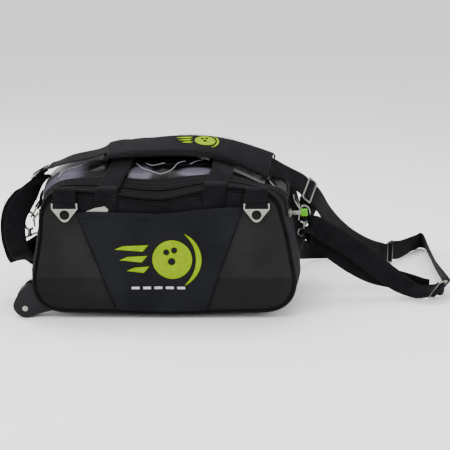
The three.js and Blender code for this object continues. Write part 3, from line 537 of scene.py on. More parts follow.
def tube_rings(points, radius, sides=10, closed=False):
    pts = [Vector(p) for p in points]
    rings, normal, n = [], None, len(pts)
    for i, p in enumerate(pts):
        a = pts[(i - 1) % n] if closed else pts[max(i - 1, 0)]
        b = pts[(i + 1) % n] if closed else pts[min(i + 1, n - 1)]
        t = (b - a).normalized()
        if normal is None:
            normal = t.orthogonal().normalized()
        normal = (normal - t * normal.dot(t)).normalized()
        other = t.cross(normal)
        rings.append([p + (normal * math.cos(q) + other * math.sin(q)) * radius
                      for q in (2 * math.pi * k / sides for k in range(sides))])
    return rings


def tube(name, points, radius, material, sides=10, closed=False, **kw):
    return loft(name, tube_rings(points, radius, sides, closed), material, closed, **kw)


def polyline(points):
    """The points as an array, and the length along them to each."""
    pts = np.array([tuple(p) for p in points], float)
    return pts, np.concatenate([[0], np.cumsum(np.linalg.norm(np.diff(pts, axis=0), axis=1))])


def point_along(pts, d, s):
    return Vector([np.interp(s, d, pts[:, i]) for i in range(3)])


def stitches(name, lines, body="bag", pitch=0.0042, size=0.00042):
    """Rows of raised thread: each line is a polyline that lies on the surface."""
    verts, faces = [], []
    for line in lines:
        pts, d = polyline(line)
        count = max(1, int(d[-1] / pitch))
        for k in range(count):
            a, b = (point_along(pts, d, (k + f) * d[-1] / count) for f in (0.16, 0.84))
            rings = tube_rings([a, lerp(a, b, 0.2), lerp(a, b, 0.8), b], size, 5)
            for end in (0, 3):
                middle = sum(rings[end], Vector()) / 5
                rings[end] = [lerp(middle, v, 0.4) for v in rings[end]]
            base = len(verts)
            verts += [v for r in rings for v in r]
            faces += [tuple(base + i for i in f) for f in loft_faces(rings)]
    return piece(name, verts, faces, THREAD, body=body)


# ------------------------------------------------------------------ gusset: both ends and the underside
ZIP_CORNER_Y = LID_FRONT + ZIP_SLANT * (Z_TOP - LID_LOW)


def end_top(y):
    back = lerp(LID_LOW, LID_BACK_LOW, (y - ZIP_CORNER_Y) / (LID_REAR - ZIP_CORNER_Y))
    return min(max(back, LID_LOW), LID_BACK_LOW) - 0.0004


GUSSET_RIPPLE = 0.0022


def gusset_at(inset=0.0):
    """at(u, v) of the ends and the underside: u goes round them and v from front to rear."""
    def at(u, v):
        y = lerp(-HALF_DEPTH + 0.001, HALF_DEPTH - 0.001, v)
        top = arc_at_height(end_top(y))
        return body_at(lerp(-top, top, u), y, -inset, GUSSET_RIPPLE)
    return at


sheet("gusset_shell", gusset_at(), 220, 44, 0.0028, NYLON, slot="nylon",
      replaces=("bottom_panel", "end_panel_left", "end_panel_right"))
sheet("gusset_lining", gusset_at(0.0036), 140, 30, 0.0008, LINING, slot="foam")

# ------------------------------------------------------------------ front and rear panels
HEM_LEFT_Z, HEM_RIGHT_Z, HEM_SAG = 0.1922, 0.1992, 0.0048
SEAM_TOP_LEFT, SEAM_TOP_RIGHT = -0.149, 0.136
SEAM_LOW_LEFT, SEAM_LOW_RIGHT = -0.084, 0.073
POCKET_LOW = 0.018
SEAM_LOW_Z = 0.020
FRONT_Y, REAR_Y = -0.1205, 0.1190
CREASE_Z = 0.075
POCKET_STAND, SIDE_STAND, HEM_STAND = 0.0040, 0.0035, 0.0050      # how far these stand off the front


def front_bulge(x, z):
    """How far the soft front stands out towards the viewer at a place."""
    edge = min(1.0, max(0.0, (half_at(z, 0.006) - abs(x)) / 0.05))
    low = smooth((z - 0.016) / 0.03) * smooth((Z_TOP - z) / 0.05)
    balls = max(math.exp(-(((x - side * BALL_X) / BALL_SIZE) ** 2 + ((z - BALL_Z) / BALL_SIZE) ** 2))
                for side in (1, -1))
    d = BALL_BULGE * balls * math.sqrt(edge) * low
    d += 0.0016 * wave3((x, 0.3, z * 1.6), 0.055, 2.0) * low
    d += 0.0007 * wave3((x * 0.7, 0.9, z * 2.2), 0.02, 5.0) * low
    return d


def panel_at(x, z, stand=0.0, extra=0.0):
    return warp((x, FRONT_Y - stand - front_bulge(x, z) - extra, z))


def panel_rows(left, right, low, high, stand, extra):
    """at(u, v) of a front piece whose sides are functions of height."""
    def at(u, v):
        z = lerp(low, high, v)
        x = lerp(left(z), right(z), u)
        return panel_at(x, z, stand, extra(x, z))
    return at


def hem_z(x):
    """Height of the pocket's edge, which sags a little between its two seams."""
    t = (x - SEAM_TOP_LEFT) / (SEAM_TOP_RIGHT - SEAM_TOP_LEFT)
    return lerp(HEM_LEFT_Z, HEM_RIGHT_Z, smooth(t)) - HEM_SAG * hump(x, SAG_X, 0.06)


def seam_left(z):
    return lerp(SEAM_LOW_LEFT, SEAM_TOP_LEFT, min(1.0, (z - SEAM_LOW_Z) / (HEM_LEFT_Z - SEAM_LOW_Z)))


def seam_right(z):
    return lerp(SEAM_LOW_RIGHT, SEAM_TOP_RIGHT, min(1.0, (z - SEAM_LOW_Z) / (HEM_RIGHT_Z - SEAM_LOW_Z)))


def pocket_rows(low, high, stand, extra):
    """at(u, v) of a piece between the two seams, with low(x) and high(x) as its edges."""
    def at(u, v):
        z = low(0.0)
        for _ in range(3):
            x = lerp(seam_left(z) + 0.0004, seam_right(z) - 0.0004, u)
            z = lerp(low(x), high(x), v)
        return panel_at(x, z, stand, extra(x, z))
    return at


def seam_pinch(x, z):
    """The panels dip where they are sewn together."""
    return -0.0013 * hump(min(abs(x - seam_left(z)), abs(x - seam_right(z))), 0, 0.006)


def side_shape(x, z):
    """The ball side panels: a puffed upper part over a flatter lower part, creased between them."""
    drape = 0.0010 * math.sin(z * 260 + 4 * wave3((x, 0, z), 0.08, 7)) * smooth((z - 0.08) / 0.03)
    fold = 0.0026 * smooth((z - CREASE_Z - 0.0015 * wave3((x, 0, 0), 0.05, 1)) / 0.006)
    return fold + drape * smooth((0.19 - z) / 0.05) + seam_pinch(x, z)


def top_pucker(x, z):
    """Loose folds in the panel between the pocket's hem and the piping."""
    return 0.0022 * wave3((x * 1.1 + z * 0.8, 0, z * 0.4), 0.02, 11) * smooth((z - 0.185) / 0.02)


def centre_shape(x, z):
    """The pocket hangs with soft dents under its hem."""
    dent = 0.0028 * wave3((x * 0.9, 0.2, z * 0.7), 0.035, 4) * smooth((z - 0.13) / 0.05)
    gape = 0.0020 * smooth((z - 0.165) / 0.03) * (1 - abs(x - SAG_X) / 0.16)
    return dent + gape + seam_pinch(x, z)


EDGE_IN = 0.0062


def edge_left(z):
    return -half_at(z, EDGE_IN)


def edge_right(z):
    return half_at(z, EDGE_IN)


sheet("front_panel_top", panel_rows(edge_left, edge_right, 0.150, Z_TOP - EDGE_IN * 1.2, 0.0, top_pucker),
      150, 40, -0.0022, NYLON, replaces=("front_panel",), slot="nylon")
for word, left, right in (("left", edge_left, seam_left), ("right", seam_right, edge_right)):
    rows = panel_rows(left, right, 0.0204, Z_TOP - EDGE_IN * 1.3, SIDE_STAND, side_shape)
    side_panel = sheet("pocket_side_panel_" + word, rows, 64, 120, -0.003, CHARCOAL,
                       replaces=("pocket_side_" + word,), slot="charcoal")
    side_panel.data.materials.append(CHARCOAL_LOW_SHADE)
    # faces below the crease take the darker copy: painted shade on the lower part
    for f in side_panel.data.polygons:
        f.material_index = 1 if f.center.z < CREASE_Z else 0
sheet("pocket_panel", pocket_rows(lambda x: POCKET_LOW, hem_z, POCKET_STAND, centre_shape),
      150, 110, -0.0014, NAVY, replaces=("pocket_center",), slot="nylon")

HEM_WIDE = 0.0085
sheet("pocket_hem_fold", pocket_rows(lambda x: hem_z(x) - HEM_WIDE, lambda x: hem_z(x) + 0.0006, HEM_STAND,
                                     lambda x, z: centre_shape(x, z) + 0.0004),
      150, 6, -0.0010, NAVY, replaces=("pocket_hem",), slot="nylon")


def front_line(f, a, b, count, stand, extra=None):
    """Points on the front from f(a) to f(b), where f gives a place (x, z)."""
    places = [f(t) for t in steps(a, b, count)]
    return [panel_at(x, z, stand, extra(x, z) if extra else 0.0) for x, z in places]


hem_lines = [front_line(lambda x, h=h: (x, hem_z(x) - h), SEAM_TOP_LEFT + 0.004, SEAM_TOP_RIGHT - 0.004,
                        90, HEM_STAND + 0.0005, centre_shape) for h in (0.0018, 0.0068, 0.0090)]
stitches("pocket_hem_stitching", hem_lines, pitch=0.0034, size=0.00034)
for word, seam, hem, side in (("left", seam_left, HEM_LEFT_Z, -1), ("right", seam_right, HEM_RIGHT_Z, 1)):
    run = [front_line(lambda z: (seam(z) - k * side * 0.0024, z), 0.024, hem - 0.004, 60, 0.0046,
                      centre_shape if k > 0 else side_shape) for k in (1, -1)]
    stitches("pocket_seam_stitching_" + word, run, pitch=0.0036, size=0.00032)
    tube("pocket_seam_cord_" + word, front_line(lambda z: (seam(z), z), 0.021, hem, 60, 0.0034), 0.0010,
         BINDING, 6)


def rear_at(u, v):
    z = lerp(Z_UNDER + EDGE_IN * 1.1, Z_TOP - EDGE_IN * 1.1, v)
    x = lerp(edge_left(z), edge_right(z), u)
    return warp((x, REAR_Y + 0.8 * front_bulge(-x, z) + 0.0008 * seam_pinch(x, z), z))


sheet("rear_panel_padded", rear_at, 120, 70, 0.0026, NYLON, replaces=("rear_panel",), slot="nylon")


# ------------------------------------------------------------------ piping and bands round the mouth
def outline_loop(y, inset, count=260):
    pts = []
    for k in range(count):
        s = k / count
        x, z = out_at(s)
        nx, nz = out_normal(s)
        pts.append(warp((x - nx * inset, y, z - nz * inset)))
    return pts


PIPING_Y, PIPING_RADIUS, PIPING_HEM_RADIUS = 0.1200, 0.0031, 0.0014
for word, side, bind_y, row_y in (("front", -1, -0.1232, -0.1262), ("rear", 1, 0.1212, 0.1220)):
    tube(word + "_piping_cord", outline_loop(side * PIPING_Y, 0.0004), PIPING_RADIUS, BINDING, 12, True,
         replaces=(word + "_piping",), slot="nylon")
    tube(word + "_piping_binding", outline_loop(bind_y, 0.0052), PIPING_HEM_RADIUS, BINDING, 8, True)
    row = outline_loop(row_y, 0.0085, 320)
    stitches(word + "_piping_stitching", [row + row[:1]], pitch=0.0038, size=0.0003)


def zip_front(z):
    return LID_FRONT + ZIP_SLANT * max(0.0, Z_TOP - z)


def band(name, ys, low, profile, nu, nv, thick, material, **kw):
    """A strip along the outline between two depths, with ridges given by profile(v)."""
    a = arc_at_height(low)

    def at(u, v):
        s = lerp(a, 1 - a, u)
        z = out_at(s)[1]
        y0, y1 = ys(z)
        return body_at(s, lerp(y0, y1, v), profile(v))
    return sheet(name, at, nu, nv, thick, material, **kw)


def ridges(count, height):
    return lambda v: height * (0.5 - 0.5 * math.cos(2 * math.pi * count * v)) ** 0.6


band("front_band_ribbed", lambda z: (-HALF_DEPTH + 0.0002, zip_front(z) - 0.0012), LID_LOW - 0.002,
     ridges(2, 0.0011), 220, 14, 0.0022, BINDING, replaces=("front_band",), slot="nylon")
band("rear_band_ribbed", lambda z: (LID_REAR + 0.0006, HALF_DEPTH - 0.0002), LID_BACK_LOW - 0.004,
     ridges(1, 0.0008), 120, 6, 0.0022, BINDING, replaces=("rear_band",), slot="nylon")


# ------------------------------------------------------------------ lid
def lid_at(u, v, off=0.0):
    y0 = lerp(LID_FRONT, LID_REAR, v)
    low = arc_at_height(lerp(LID_LOW, LID_BACK_LOW, v) + 0.0004)
    s = lerp(low, 1 - low, u)
    z = out_at(s)[1]
    return body_at(s, y0 + ZIP_SLANT * (1 - v) * max(0.0, Z_TOP - z), off)


TRIM_FRONT, TRIM_REAR, TRIM_END = 0.088, 0.94, 0.05


def lid_strip(name, us, vs, profile, nu, nv, **kw):
    """A ribbed strip of the lid's trim, between two shares of its width and two of its depth."""
    def at(u, v):
        return lid_at(lerp(*us, u), lerp(*vs, v), profile(u, v))
    return sheet(name, at, nu, nv, 0.0022, BINDING, body="lid", **kw)


lid_strip("lid_trim_front", (0.0, 1.0), (0.004, TRIM_FRONT), lambda u, v: ridges(3, 0.0011)(v), 220, 20,
          replaces=("lid_trim",), slot="nylon")
lid_strip("lid_trim_rear", (0.0, 1.0), (TRIM_REAR, 1.0), lambda u, v: ridges(2, 0.0008)(v), 140, 10)
for word, us in (("right", (0.0, TRIM_END)), ("left", (1 - TRIM_END, 1.0))):
    lid_strip("lid_trim_end_" + word, us, (TRIM_FRONT - 0.004, TRIM_REAR + 0.004),
              lambda u, v: ridges(2, 0.0009)(u), 12, 60)


TAPE_FRONT, TAPE_REAR, TAPE_IN = 0.1025, 0.1135, 0.0030


def hinge_tape_at(u, v):
    """Inside the rear edge, under both the lid's trim and the rear band."""
    top = arc_at_height(LID_BACK_LOW + 0.001)
    return body_at(lerp(top, 1 - top, u), lerp(TAPE_FRONT, TAPE_REAR, v), -TAPE_IN)


tape = sheet("lid_hinge_tape", hinge_tape_at, 120, 12, 0.0007, BINDING, ride=False)
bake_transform(tape)


def window_wrinkle(u, v, x, y):
    """Broad stiff creases of clear vinyl pushed down under the pad, flatter towards its seams."""
    free = smooth(min(u, 1 - u) / 0.10) * smooth(min(v, 1 - v) / 0.14)
    fold = wave3((x * 0.8, y * 1.3, 0), 0.075, 1.0)
    broad = wave3((x - y * 0.6, y * 1.5 + x * 0.4, 0), 0.110, 9.0)
    return free * ((1 - abs(fold) * 2.2) * 0.0030 + 0.0040 * broad - 0.0032)


def window_at(u, v):
    uu = lerp(TRIM_END * 0.96, 1 - TRIM_END * 0.96, u)
    vv = lerp(TRIM_FRONT * 0.97, TRIM_REAR + 0.004, v)
    p = lid_at(uu, vv)
    return lid_at(uu, vv, window_wrinkle(u, v, p.x, p.y))


window = sheet("lid_window_vinyl", window_at, 240, 110, 0.0006, VINYL, body="lid",
               replaces=("lid_window",), slot="vinyl")
# sharp folds of the vinyl, drawn as thin pale tubes whose colour is a painted highlight where the folds catch
# the light: places seen from above, in millimetres
CREASES = [
    [(-51, -46), (-39, -60), (-25, -68), (-8, -76), (3, -74), (13, -68), (23, -53), (36, -48)],
    [(-33, -49), (-22, -56), (-12, -56), (0, -54)],
    [(43, -56), (54, -48), (66, -42)],
    [(-185, -58), (-173, -42), (-153, -38), (-133, -26), (-119, -24)],
    [(179, -46), (184, -68), (188, -86)],
]
window_tree = BVHTree.FromObject(window, bpy.context.evaluated_depsgraph_get())
for number, line in enumerate(CREASES, 1):
    drops = [window_tree.ray_cast(Vector((x, y, 0.4)), Vector((0, 0, -1)))[0]
             for x, y, _ in spline([(x * MM, y * MM, 0) for x, y in line], 24)]
    tube("window_crease_glint_%d" % number, [p for p in drops if p], 0.0007, CREASE_GLINT, 6, body="lid")
trim_rows = [[lid_at(u, v, lift) for u in steps(0.01, 0.99, count)]
             for count, lift, v in ((200, 0.0016, 0.020), (200, 0.0016, 0.047), (200, 0.0016, 0.076),
                                    (140, 0.0012, 0.955), (140, 0.0012, 0.985))]
trim_rows += [[lid_at(u, v, 0.0012) for v in steps(0.09, 0.93, 60)] for u in (0.014, 0.036, 0.964, 0.986)]
stitches("lid_trim_stitching", trim_rows, body="lid", pitch=0.0036, size=0.00032)


# ------------------------------------------------------------------ zip
ZIP_END_Y = LID_REAR - 0.004


def zip_end(y0, y1, off, mirrored):
    """Part of the chain's line along one end of the bag."""
    line = []
    for y in steps(y0, y1, 60):
        s = arc_at_height(end_top(y))
        line.append(body_at(1 - s if mirrored else s, y, off))
    return line


def zip_line(off, count=420):
    """The chain's line round the front of the lid and back along both ends."""
    a = arc_at_height(LID_LOW)
    front = [body_at(s, zip_front(out_at(s)[1]), off) for s in steps(a, 1 - a, count)[1:-1]]
    return zip_end(ZIP_END_Y, ZIP_CORNER_Y, off, False) + front + zip_end(ZIP_CORNER_Y, ZIP_END_Y, off, True)


TOOTH_STEP, TOOTH_ASIDE = 0.0011, 0.0008
TOOTH_LONG, TOOTH_WIDE, TOOTH_TAPER, TOOTH_HIGH = 0.00042, 0.0013, 0.0003, 0.0008      # half sizes
BOX_FACES = [(0, 1, 3, 2), (4, 6, 7, 5), (0, 4, 5, 1), (2, 3, 7, 6), (0, 2, 6, 4), (1, 5, 7, 3)]

pts, reach = polyline(zip_line(0.0010))
chain = [point_along(pts, reach, s) for s in np.arange(0, reach[-1], TOOTH_STEP)]
teeth_v, teeth_f = [], []
for k in range(1, len(chain) - 1):
    along = (chain[k + 1] - chain[k - 1]).normalized()
    outward = Vector((chain[k].x * 0.6, 0, 0.25)) if abs(chain[k].x) > 0.17 else Vector((0, 0, 1))
    across = along.cross(outward).normalized()
    up = across.cross(along).normalized()
    centre = chain[k] + across * (TOOTH_ASIDE if k % 2 else -TOOTH_ASIDE)
    base = len(teeth_v)
    for dx in (-1, 1):
        for dy in (-1, 1):
            for dz, wide in ((-1, TOOTH_WIDE), (1, TOOTH_WIDE - TOOTH_TAPER)):
                corner = centre + along * dx * TOOTH_LONG + across * dy * wide + up * dz * TOOTH_HIGH
                teeth_v.append(corner)
    teeth_f += [tuple(base + i for i in f) for f in BOX_FACES]
tidy_normals(piece("zip_teeth", teeth_v, teeth_f, PLASTIC))


# ------------------------------------------------------------------ front rings' tabs and carry handles
def warped(stops):
    """Stops in millimetres moved with the body's sag."""
    return [(tuple(warp(tuple(c * MM for c in p)) * 1000), w) for p, w in stops]


RING_X = {"left": -166, "right": 157}
TAB_LINE = [(-119.5, 233.2), (-123.6, 232.2), (-127.2, 229), (-129.2, 221), (-129.7, 214), (-129.7, 206.5),
            (-130.9, 203.6), (-133, 202.6), (-135.1, 203.6), (-136.4, 206.5), (-136.2, 211.5),
            (-133.6, 216.5), (-132.4, 221.5), (-131.2, 227)]
for word, x in RING_X.items():
    ribbon("ring_tab_webbing_" + word, [((x, y, z), (1, 0, 0)) for y, z in TAB_LINE], 60,
           width=0.0375, replaces=("ring_tab_" + word,))
    rows = [[Vector((x * MM + a, y * MM, z * MM)) for a in np.linspace(-0.015, 0.015, 14)]
            for y, z in ((-136.0, 214.5), (-134.7, 217.5))]
    stitches("ring_tab_stitching_" + word, rows, pitch=0.0028, size=0.0004)


def over(x, y, lift):
    """A place above the lid, in millimetres."""
    return (x, y, lid_top(x * MM, y * MM) * 1000 + lift)


def leg(x, z, out=0.0):
    """A place just off the front pocket, in millimetres."""
    return (x, -122.9 - out - front_bulge(x * MM, z * MM) * 1000, z)


front_loop = warped([
    (leg(-98.5, 170, -2.6), (1, 0, 0)), (leg(-98.5, 184, -1.0), (1, 0, 0)), (leg(-98, 200), (1, 0, 0)),
    ((-97.8, -125.0, 214), (1, 0, 0)), ((-97, -125.9, 226), (1, 0, 0)), ((-96, -124.4, 233.8), (1, 0, 0)),
    ((-95, -118.5, 237.2), (1, 0, 0)), (over(-93, -110, 4.2), (1, 0, 0.04)),
    (over(-85, -88, 3.4), (1, -0.1, 0.08)), (over(-76, -62, 2.7), (1, -0.1, 0.08)),
    (over(-70, -30, 2.4), (1, -0.1, 0.08)), (over(-62, -2, 2.4), (1, -0.3, 0.1)),
    (over(-40, 24, 2.4), (0.6, -0.8, 0.1)), (over(-4, 36, 2.4), (0, -1, 0.14)),
    (over(34, 36, 2.4), (0, -1, 0.14)),
    (over(72, 24, 3.4), (-0.6, -0.8, 0.2)), (over(92, -2, 4), (-1, -0.3, 0.3)),
    (over(99, -30, 4), (-1, -0.1, 0.33)), (over(101, -62, 3.6), (-1, 0, 0.32)),
    (over(98, -88, 3.4), (-1, 0, 0.18)), (over(90, -110, 4.2), (-1, 0, 0.1)),
    ((88, -118.5, 237.2), (-1, 0, 0)),
    ((87, -124.4, 233.8), (-1, 0, 0)), ((86, -125.9, 226), (-1, 0, 0)), ((85.4, -125.0, 214), (-1, 0, 0)),
    (leg(85, 200), (-1, 0, 0)), (leg(84.5, 184, -1.0), (-1, 0, 0)), (leg(84.5, 170, -2.6), (-1, 0, 0)),
])
handle = ribbon("front_handle_webbing", front_loop, 260, thick=0.0017, ride=False,
                replaces=("front_handle_loop",))
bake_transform(handle)

REAR_LEG_X = 90
for side, word in ((-1, "left"), (1, "right")):
    rear_leg = [((side * REAR_LEG_X, 124.6 + front_bulge(REAR_LEG_X * MM, z * MM) * 800, z), (1, 0, 0))
                for z in (112, 140, 170, 190, 203)]
    ribbon("rear_handle_leg_webbing_" + word, rear_leg, 40, replaces=("rear_handle_leg_" + word,))
    boxes = []
    for z0, z1 in ((116, 148), (156, 188)):
        y = 0.1266 + front_bulge(REAR_LEG_X * MM, 0.0005 * (z0 + z1)) * 0.8
        a, b, c, d = (Vector((side * REAR_LEG_X * MM + dx * 0.014, y, z * MM))
                      for dx, z in ((-1, z0), (1, z0), (1, z1), (-1, z1)))
        boxes += [[a, b, c, d, a], [a, c], [b, d]]
    stitches("rear_handle_box_stitching_" + word, boxes, pitch=0.003, size=0.0004)

rear_half = [
    ((-90, 124.6, 205), (1, 0, 0)), ((-90, 127.4, 208.6), (1, 0, 0)), ((-90, 130.0, 203), (1, 0, 0)),
    ((-89, 130.6, 180), (1, 0, 0)), ((-84, 131, 140), (1, 0, 0.1)), ((-62, 131.4, 104), (0.7, 0, 0.7)),
    ((-25, 131.4, 88), (0.1, 0, 1)),
]
rear_loop = rear_half + [((-x, y, z), (-a, b, c)) for (x, y, z), (a, b, c) in rear_half[::-1]]
ribbon("rear_handle_webbing", rear_loop, 160, body="rear_handle", replaces=("rear_handle_loop",))


# ------------------------------------------------------------------ shoulder pad
PUFF_VOXEL, PUFF_PRESSURE, PUFF_CAP, PUFF_FRAMES = 0.0045, 4.0, 0.0035, 20


def puff(o):
    """Swells a closed soft piece with a pressure simulation, and keeps how far each point moves."""
    bpy.context.view_layer.objects.active = o
    remesh = o.modifiers.new("remesh", "REMESH")
    remesh.mode, remesh.voxel_size = "VOXEL", PUFF_VOXEL
    dg = bpy.context.evaluated_depsgraph_get()
    me = bpy.data.meshes.new_from_object(o.evaluated_get(dg))
    o.modifiers.clear()
    materials = list(o.data.materials)
    o.data = me
    me.materials.clear()
    for m in materials:
        me.materials.append(m)
    rest = np.array([v.co for v in me.vertices])
    cloth = o.modifiers.new("cloth", "CLOTH")
    s = cloth.settings
    s.quality, s.mass = 6, 0.25
    s.tension_stiffness = s.compression_stiffness = 18
    s.shear_stiffness, s.bending_stiffness = 8, 0.6
    s.use_pressure, s.uniform_pressure_force = True, PUFF_PRESSURE
    s.effector_weights.gravity = 0
    cloth.point_cache.frame_start, cloth.point_cache.frame_end = 1, PUFF_FRAMES
    scene = bpy.context.scene
    for f in range(1, PUFF_FRAMES + 1):
        scene.frame_set(f)
    dg = bpy.context.evaluated_depsgraph_get()
    moved = np.array([v.co for v in o.evaluated_get(dg).data.vertices])
    o.modifiers.clear()
    scene.frame_set(1)
    d = moved - rest
    length = np.linalg.norm(d, axis=1, keepdims=True)
    d *= np.minimum(1, PUFF_CAP / np.maximum(length, 1e-9))
    me.vertices.foreach_set("co", (rest + d).astype(np.float32).ravel())
    me.update()
    me.shade_smooth()
    mod = o.modifiers.new("smooth", "SUBSURF")
    mod.levels = mod.render_levels = 1


PAD_WIDE, PAD_LONG = 0.076, 0.305
pad_stops = [
    ((-105, -30, 275.5), (-0.1, 0.95, 0.13)), ((-71, -30, 281.5), (-0.1, 0.95, 0.18)),
    ((-16, -30, 285.5), (-0.1, 0.95, 0.26)), ((31, -30, 287.5), (-0.05, 0.94, 0.32)),
    ((85, -30, 284.5), (0.1, 0.93, 0.36)), ((121, -30, 275.5), (0.27, 0.87, 0.36)),
    ((153, -30, 262.5), (0.42, 0.82, 0.3)), ((187, -28, 247.2), (0.48, 0.79, 0.3)),
]
PAD_STEPS, PAD_SIDES = 130, 36
pad_middle, pad_across = strap_path(pad_stops, PAD_STEPS)


def pad_frame(k):
    """The pad's middle at step k, the direction across it and the one out of its upper face."""
    w, n = strap_frame(pad_middle, pad_across, k)
    return Vector(pad_middle[k]), Vector(w), Vector(n)


def pad_taper(f):
    """Half width of the pad along its length: squared ends with rounded corners."""
    end = min(f, 1 - f) * 0.29
    return PAD_WIDE / 2 * (1 - 0.16 * max(0.0, 1 - end / 0.012) ** 2)


def power(value, exponent):
    return math.copysign(abs(value) ** exponent, value)


pad_rings = []
for k in range(PAD_STEPS + 1):
    c, w, n = pad_frame(k)
    f = k / PAD_STEPS
    thick = lerp(0.0022, 0.0040, smooth(min(1.0, min(f, 1 - f) / 0.05)))
    turns = [2 * math.pi * q / PAD_SIDES for q in range(PAD_SIDES)]
    pad_rings.append([c + w * pad_taper(f) * power(math.cos(a), 0.5) + n * thick * power(math.sin(a), 0.75)
                      for a in turns])
pad = loft("shoulder_pad_foam", pad_rings, NYLON, ride=False)
puff(pad)
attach(pad, "lid")
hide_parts("shoulder_pad")
pad_tree = BVHTree.FromObject(pad, bpy.context.evaluated_depsgraph_get())


def on_pad(f, b, lift=0.0004):
    """Point on the pad's upper face: f along it from 0 to 1, b across it in metres."""
    x = f * PAD_STEPS
    k = min(int(x), PAD_STEPS - 1)
    c0, w0, n0 = pad_frame(k)
    c1, w1, n1 = pad_frame(k + 1)
    g = x - k
    c, w, n = c0.lerp(c1, g), w0.lerp(w1, g).normalized(), n0.lerp(n1, g).normalized()
    if n.z < 0:
        n = -n
    hit = pad_tree.ray_cast(c + w * b + n * 0.03, -n)
    return (hit[0] if hit[0] else c + w * b + n * 0.004) + n * lift


def pad_edge(side):
    """The pad's long edge, found on the swelled piece itself."""
    line = []
    for k in range(PAD_STEPS + 1):
        c, w, _ = pad_frame(k)
        out = w * side
        hit = pad_tree.ray_cast(c + out * PAD_WIDE, -out)[0]
        line.append((hit if hit else c + out * pad_taper(k / PAD_STEPS)) + out * 0.0002)
    return line


edge_loop = pad_edge(1) + pad_edge(-1)[::-1]
tube("shoulder_pad_binding", edge_loop, 0.0017, BINDING, 8, True, body="lid")


def pad_line(f0, b0, f1, b1, count=12):
    return [on_pad(f, b) for f, b in zip(steps(f0, f1, count), steps(b0, b1, count))]


pad_rows = [[on_pad(i / 120, side * (pad_taper(i / 120) - d)) for i in range(2, 119)]
            for side in (1, -1) for d in (0.0055, 0.0078)]
pad_rows += [[on_pad(f, b) for b in np.linspace(-0.030, 0.030, 24)]
             for f in (0.030, 0.036, 0.135, 0.905, 0.915, 0.968)]
for f0, f1, b0, b1 in ((0.045, 0.120, -0.016, 0.016), (0.922, 0.962, -0.015, 0.015)):
    corner = [(f0, b0), (f1, b0), (f1, b1), (f0, b1)]
    for i, j in ((0, 1), (1, 2), (2, 3), (3, 0), (0, 2), (3, 1)):
        pad_rows.append(pad_line(*corner[i], *corner[j]))
stitches("shoulder_pad_stitching", pad_rows, body="lid", pitch=0.0032, size=0.00038)

# ------------------------------------------------------------------ slides and the long strap
SLIDES = {
    "left": ((-219.5, -14, 238.2), (0.587, 0.776, 0.233), (-0.56, 0.59, -0.58), 1),
    "right": ((254.5, -9.5, 202.5), (0.33, 0.69, 0.63), (0.6, 0.2, -0.72), -1),
    "floor": ((434, 211, 23.6), (0, 0, 1), (0.58, 0.81, 0), -1),
    "corner": ((489.5, -17.5, 20.2), (0.37, -0.47, 0.8), (0.8, 0.6, 0), -1),
}
ONTO = (-9.5, -2.2), (0, 2.3)                        # under a slide's end bar and up over its middle bar
OFF_OVER = (-3.5, 4.0), (0, 4.3), (6, 1.6), (9.5, -2.0)      # back over the middle bar and on under the end


def through(word, *places):
    """Stops past a slide: each place is (millimetres along its travel, height over its plate)."""
    c, x, t, face = SLIDES[word]
    c, x, t = Vector(c), Vector(x).normalized(), Vector(t)
    t = (t - x * t.dot(x)).normalized()
    n = x.cross(t) * face
    return [(tuple(c + t * a + n * h), tuple(x)) for a, h in places]

ribbon("strap_left_over_webbing", [
    ((-84, -30, 284.0), (-0.05, 0.94, 0.16)), ((-104, -30, 279.9), (-0.03, 0.94, 0.15)),
    ((-119, -29, 274.4), (0.05, 0.93, 0.17)), ((-136, -28, 270.3), (0.1, 0.93, 0.2)),
    ((-168, -28, 263), (0.25, 0.9, 0.22)), ((-192.5, -25, 253.5), (0.45, 0.82, 0.24)),
] + through("left", (-17, -1.2), *ONTO, (4, 1.2)), 110, body="lid", replaces=("strap_left_over",))
ribbon("strap_right_over_webbing", [
    ((150, -30, 267.8), (0.42, 0.82, 0.3)), ((166, -30, 260.4), (0.46, 0.8, 0.28)),
    ((183, -28, 250.5), (0.46, 0.74, 0.42)), ((201, -22, 238), (0.42, 0.68, 0.56)),
    ((222, -16.5, 226), (0.37, 0.67, 0.61)), ((238, -13, 217), (0.35, 0.68, 0.62)),
] + through("right", (-15, -1.4), *ONTO, (4, 1.2)), 100, body="lid", replaces=("strap_right_over",))

# the strands beyond the lid's slides run between the lid and the standing bag, and ride on neither
left_outer = ribbon("strap_left_outer_webbing", through("left", *OFF_OVER, (16, -1.0)) + [
    ((-238.5, 2, 214), (0.7, 0.68, 0.2)), ((-254, 4, 192), (0.88, 0.45, 0.15)),
    ((-273, -9, 168), (0.93, 0.36, 0.05)), ((-279, -15, 144), (0.9, 0.43, 0)),
    ((-279, -13, 116), (0.9, 0.43, -0.05)), ((-277, -9, 101), (0.9, 0.4, -0.05)),
    ((-272, -10, 85), (0.95, 0.25, -0.1)), ((-267, -4, 73), (0.93, 0.3, -0.05)),
    ((-263, 6, 70.5), (0.88, 0.45, 0.05)), ((-259, 9, 80), (0.8, 0.6, 0.1)),
    ((-255, 7, 91), (0.7, 0.7, 0.12)), ((-250.5, 1.5, 103), (0.62, 0.76, 0.12)),
    ((-248.5, -3.5, 110), (0.6, 0.79, 0.12)),
], 240, curl=0.0006, ride=False, replaces=("strap_left_outer",))
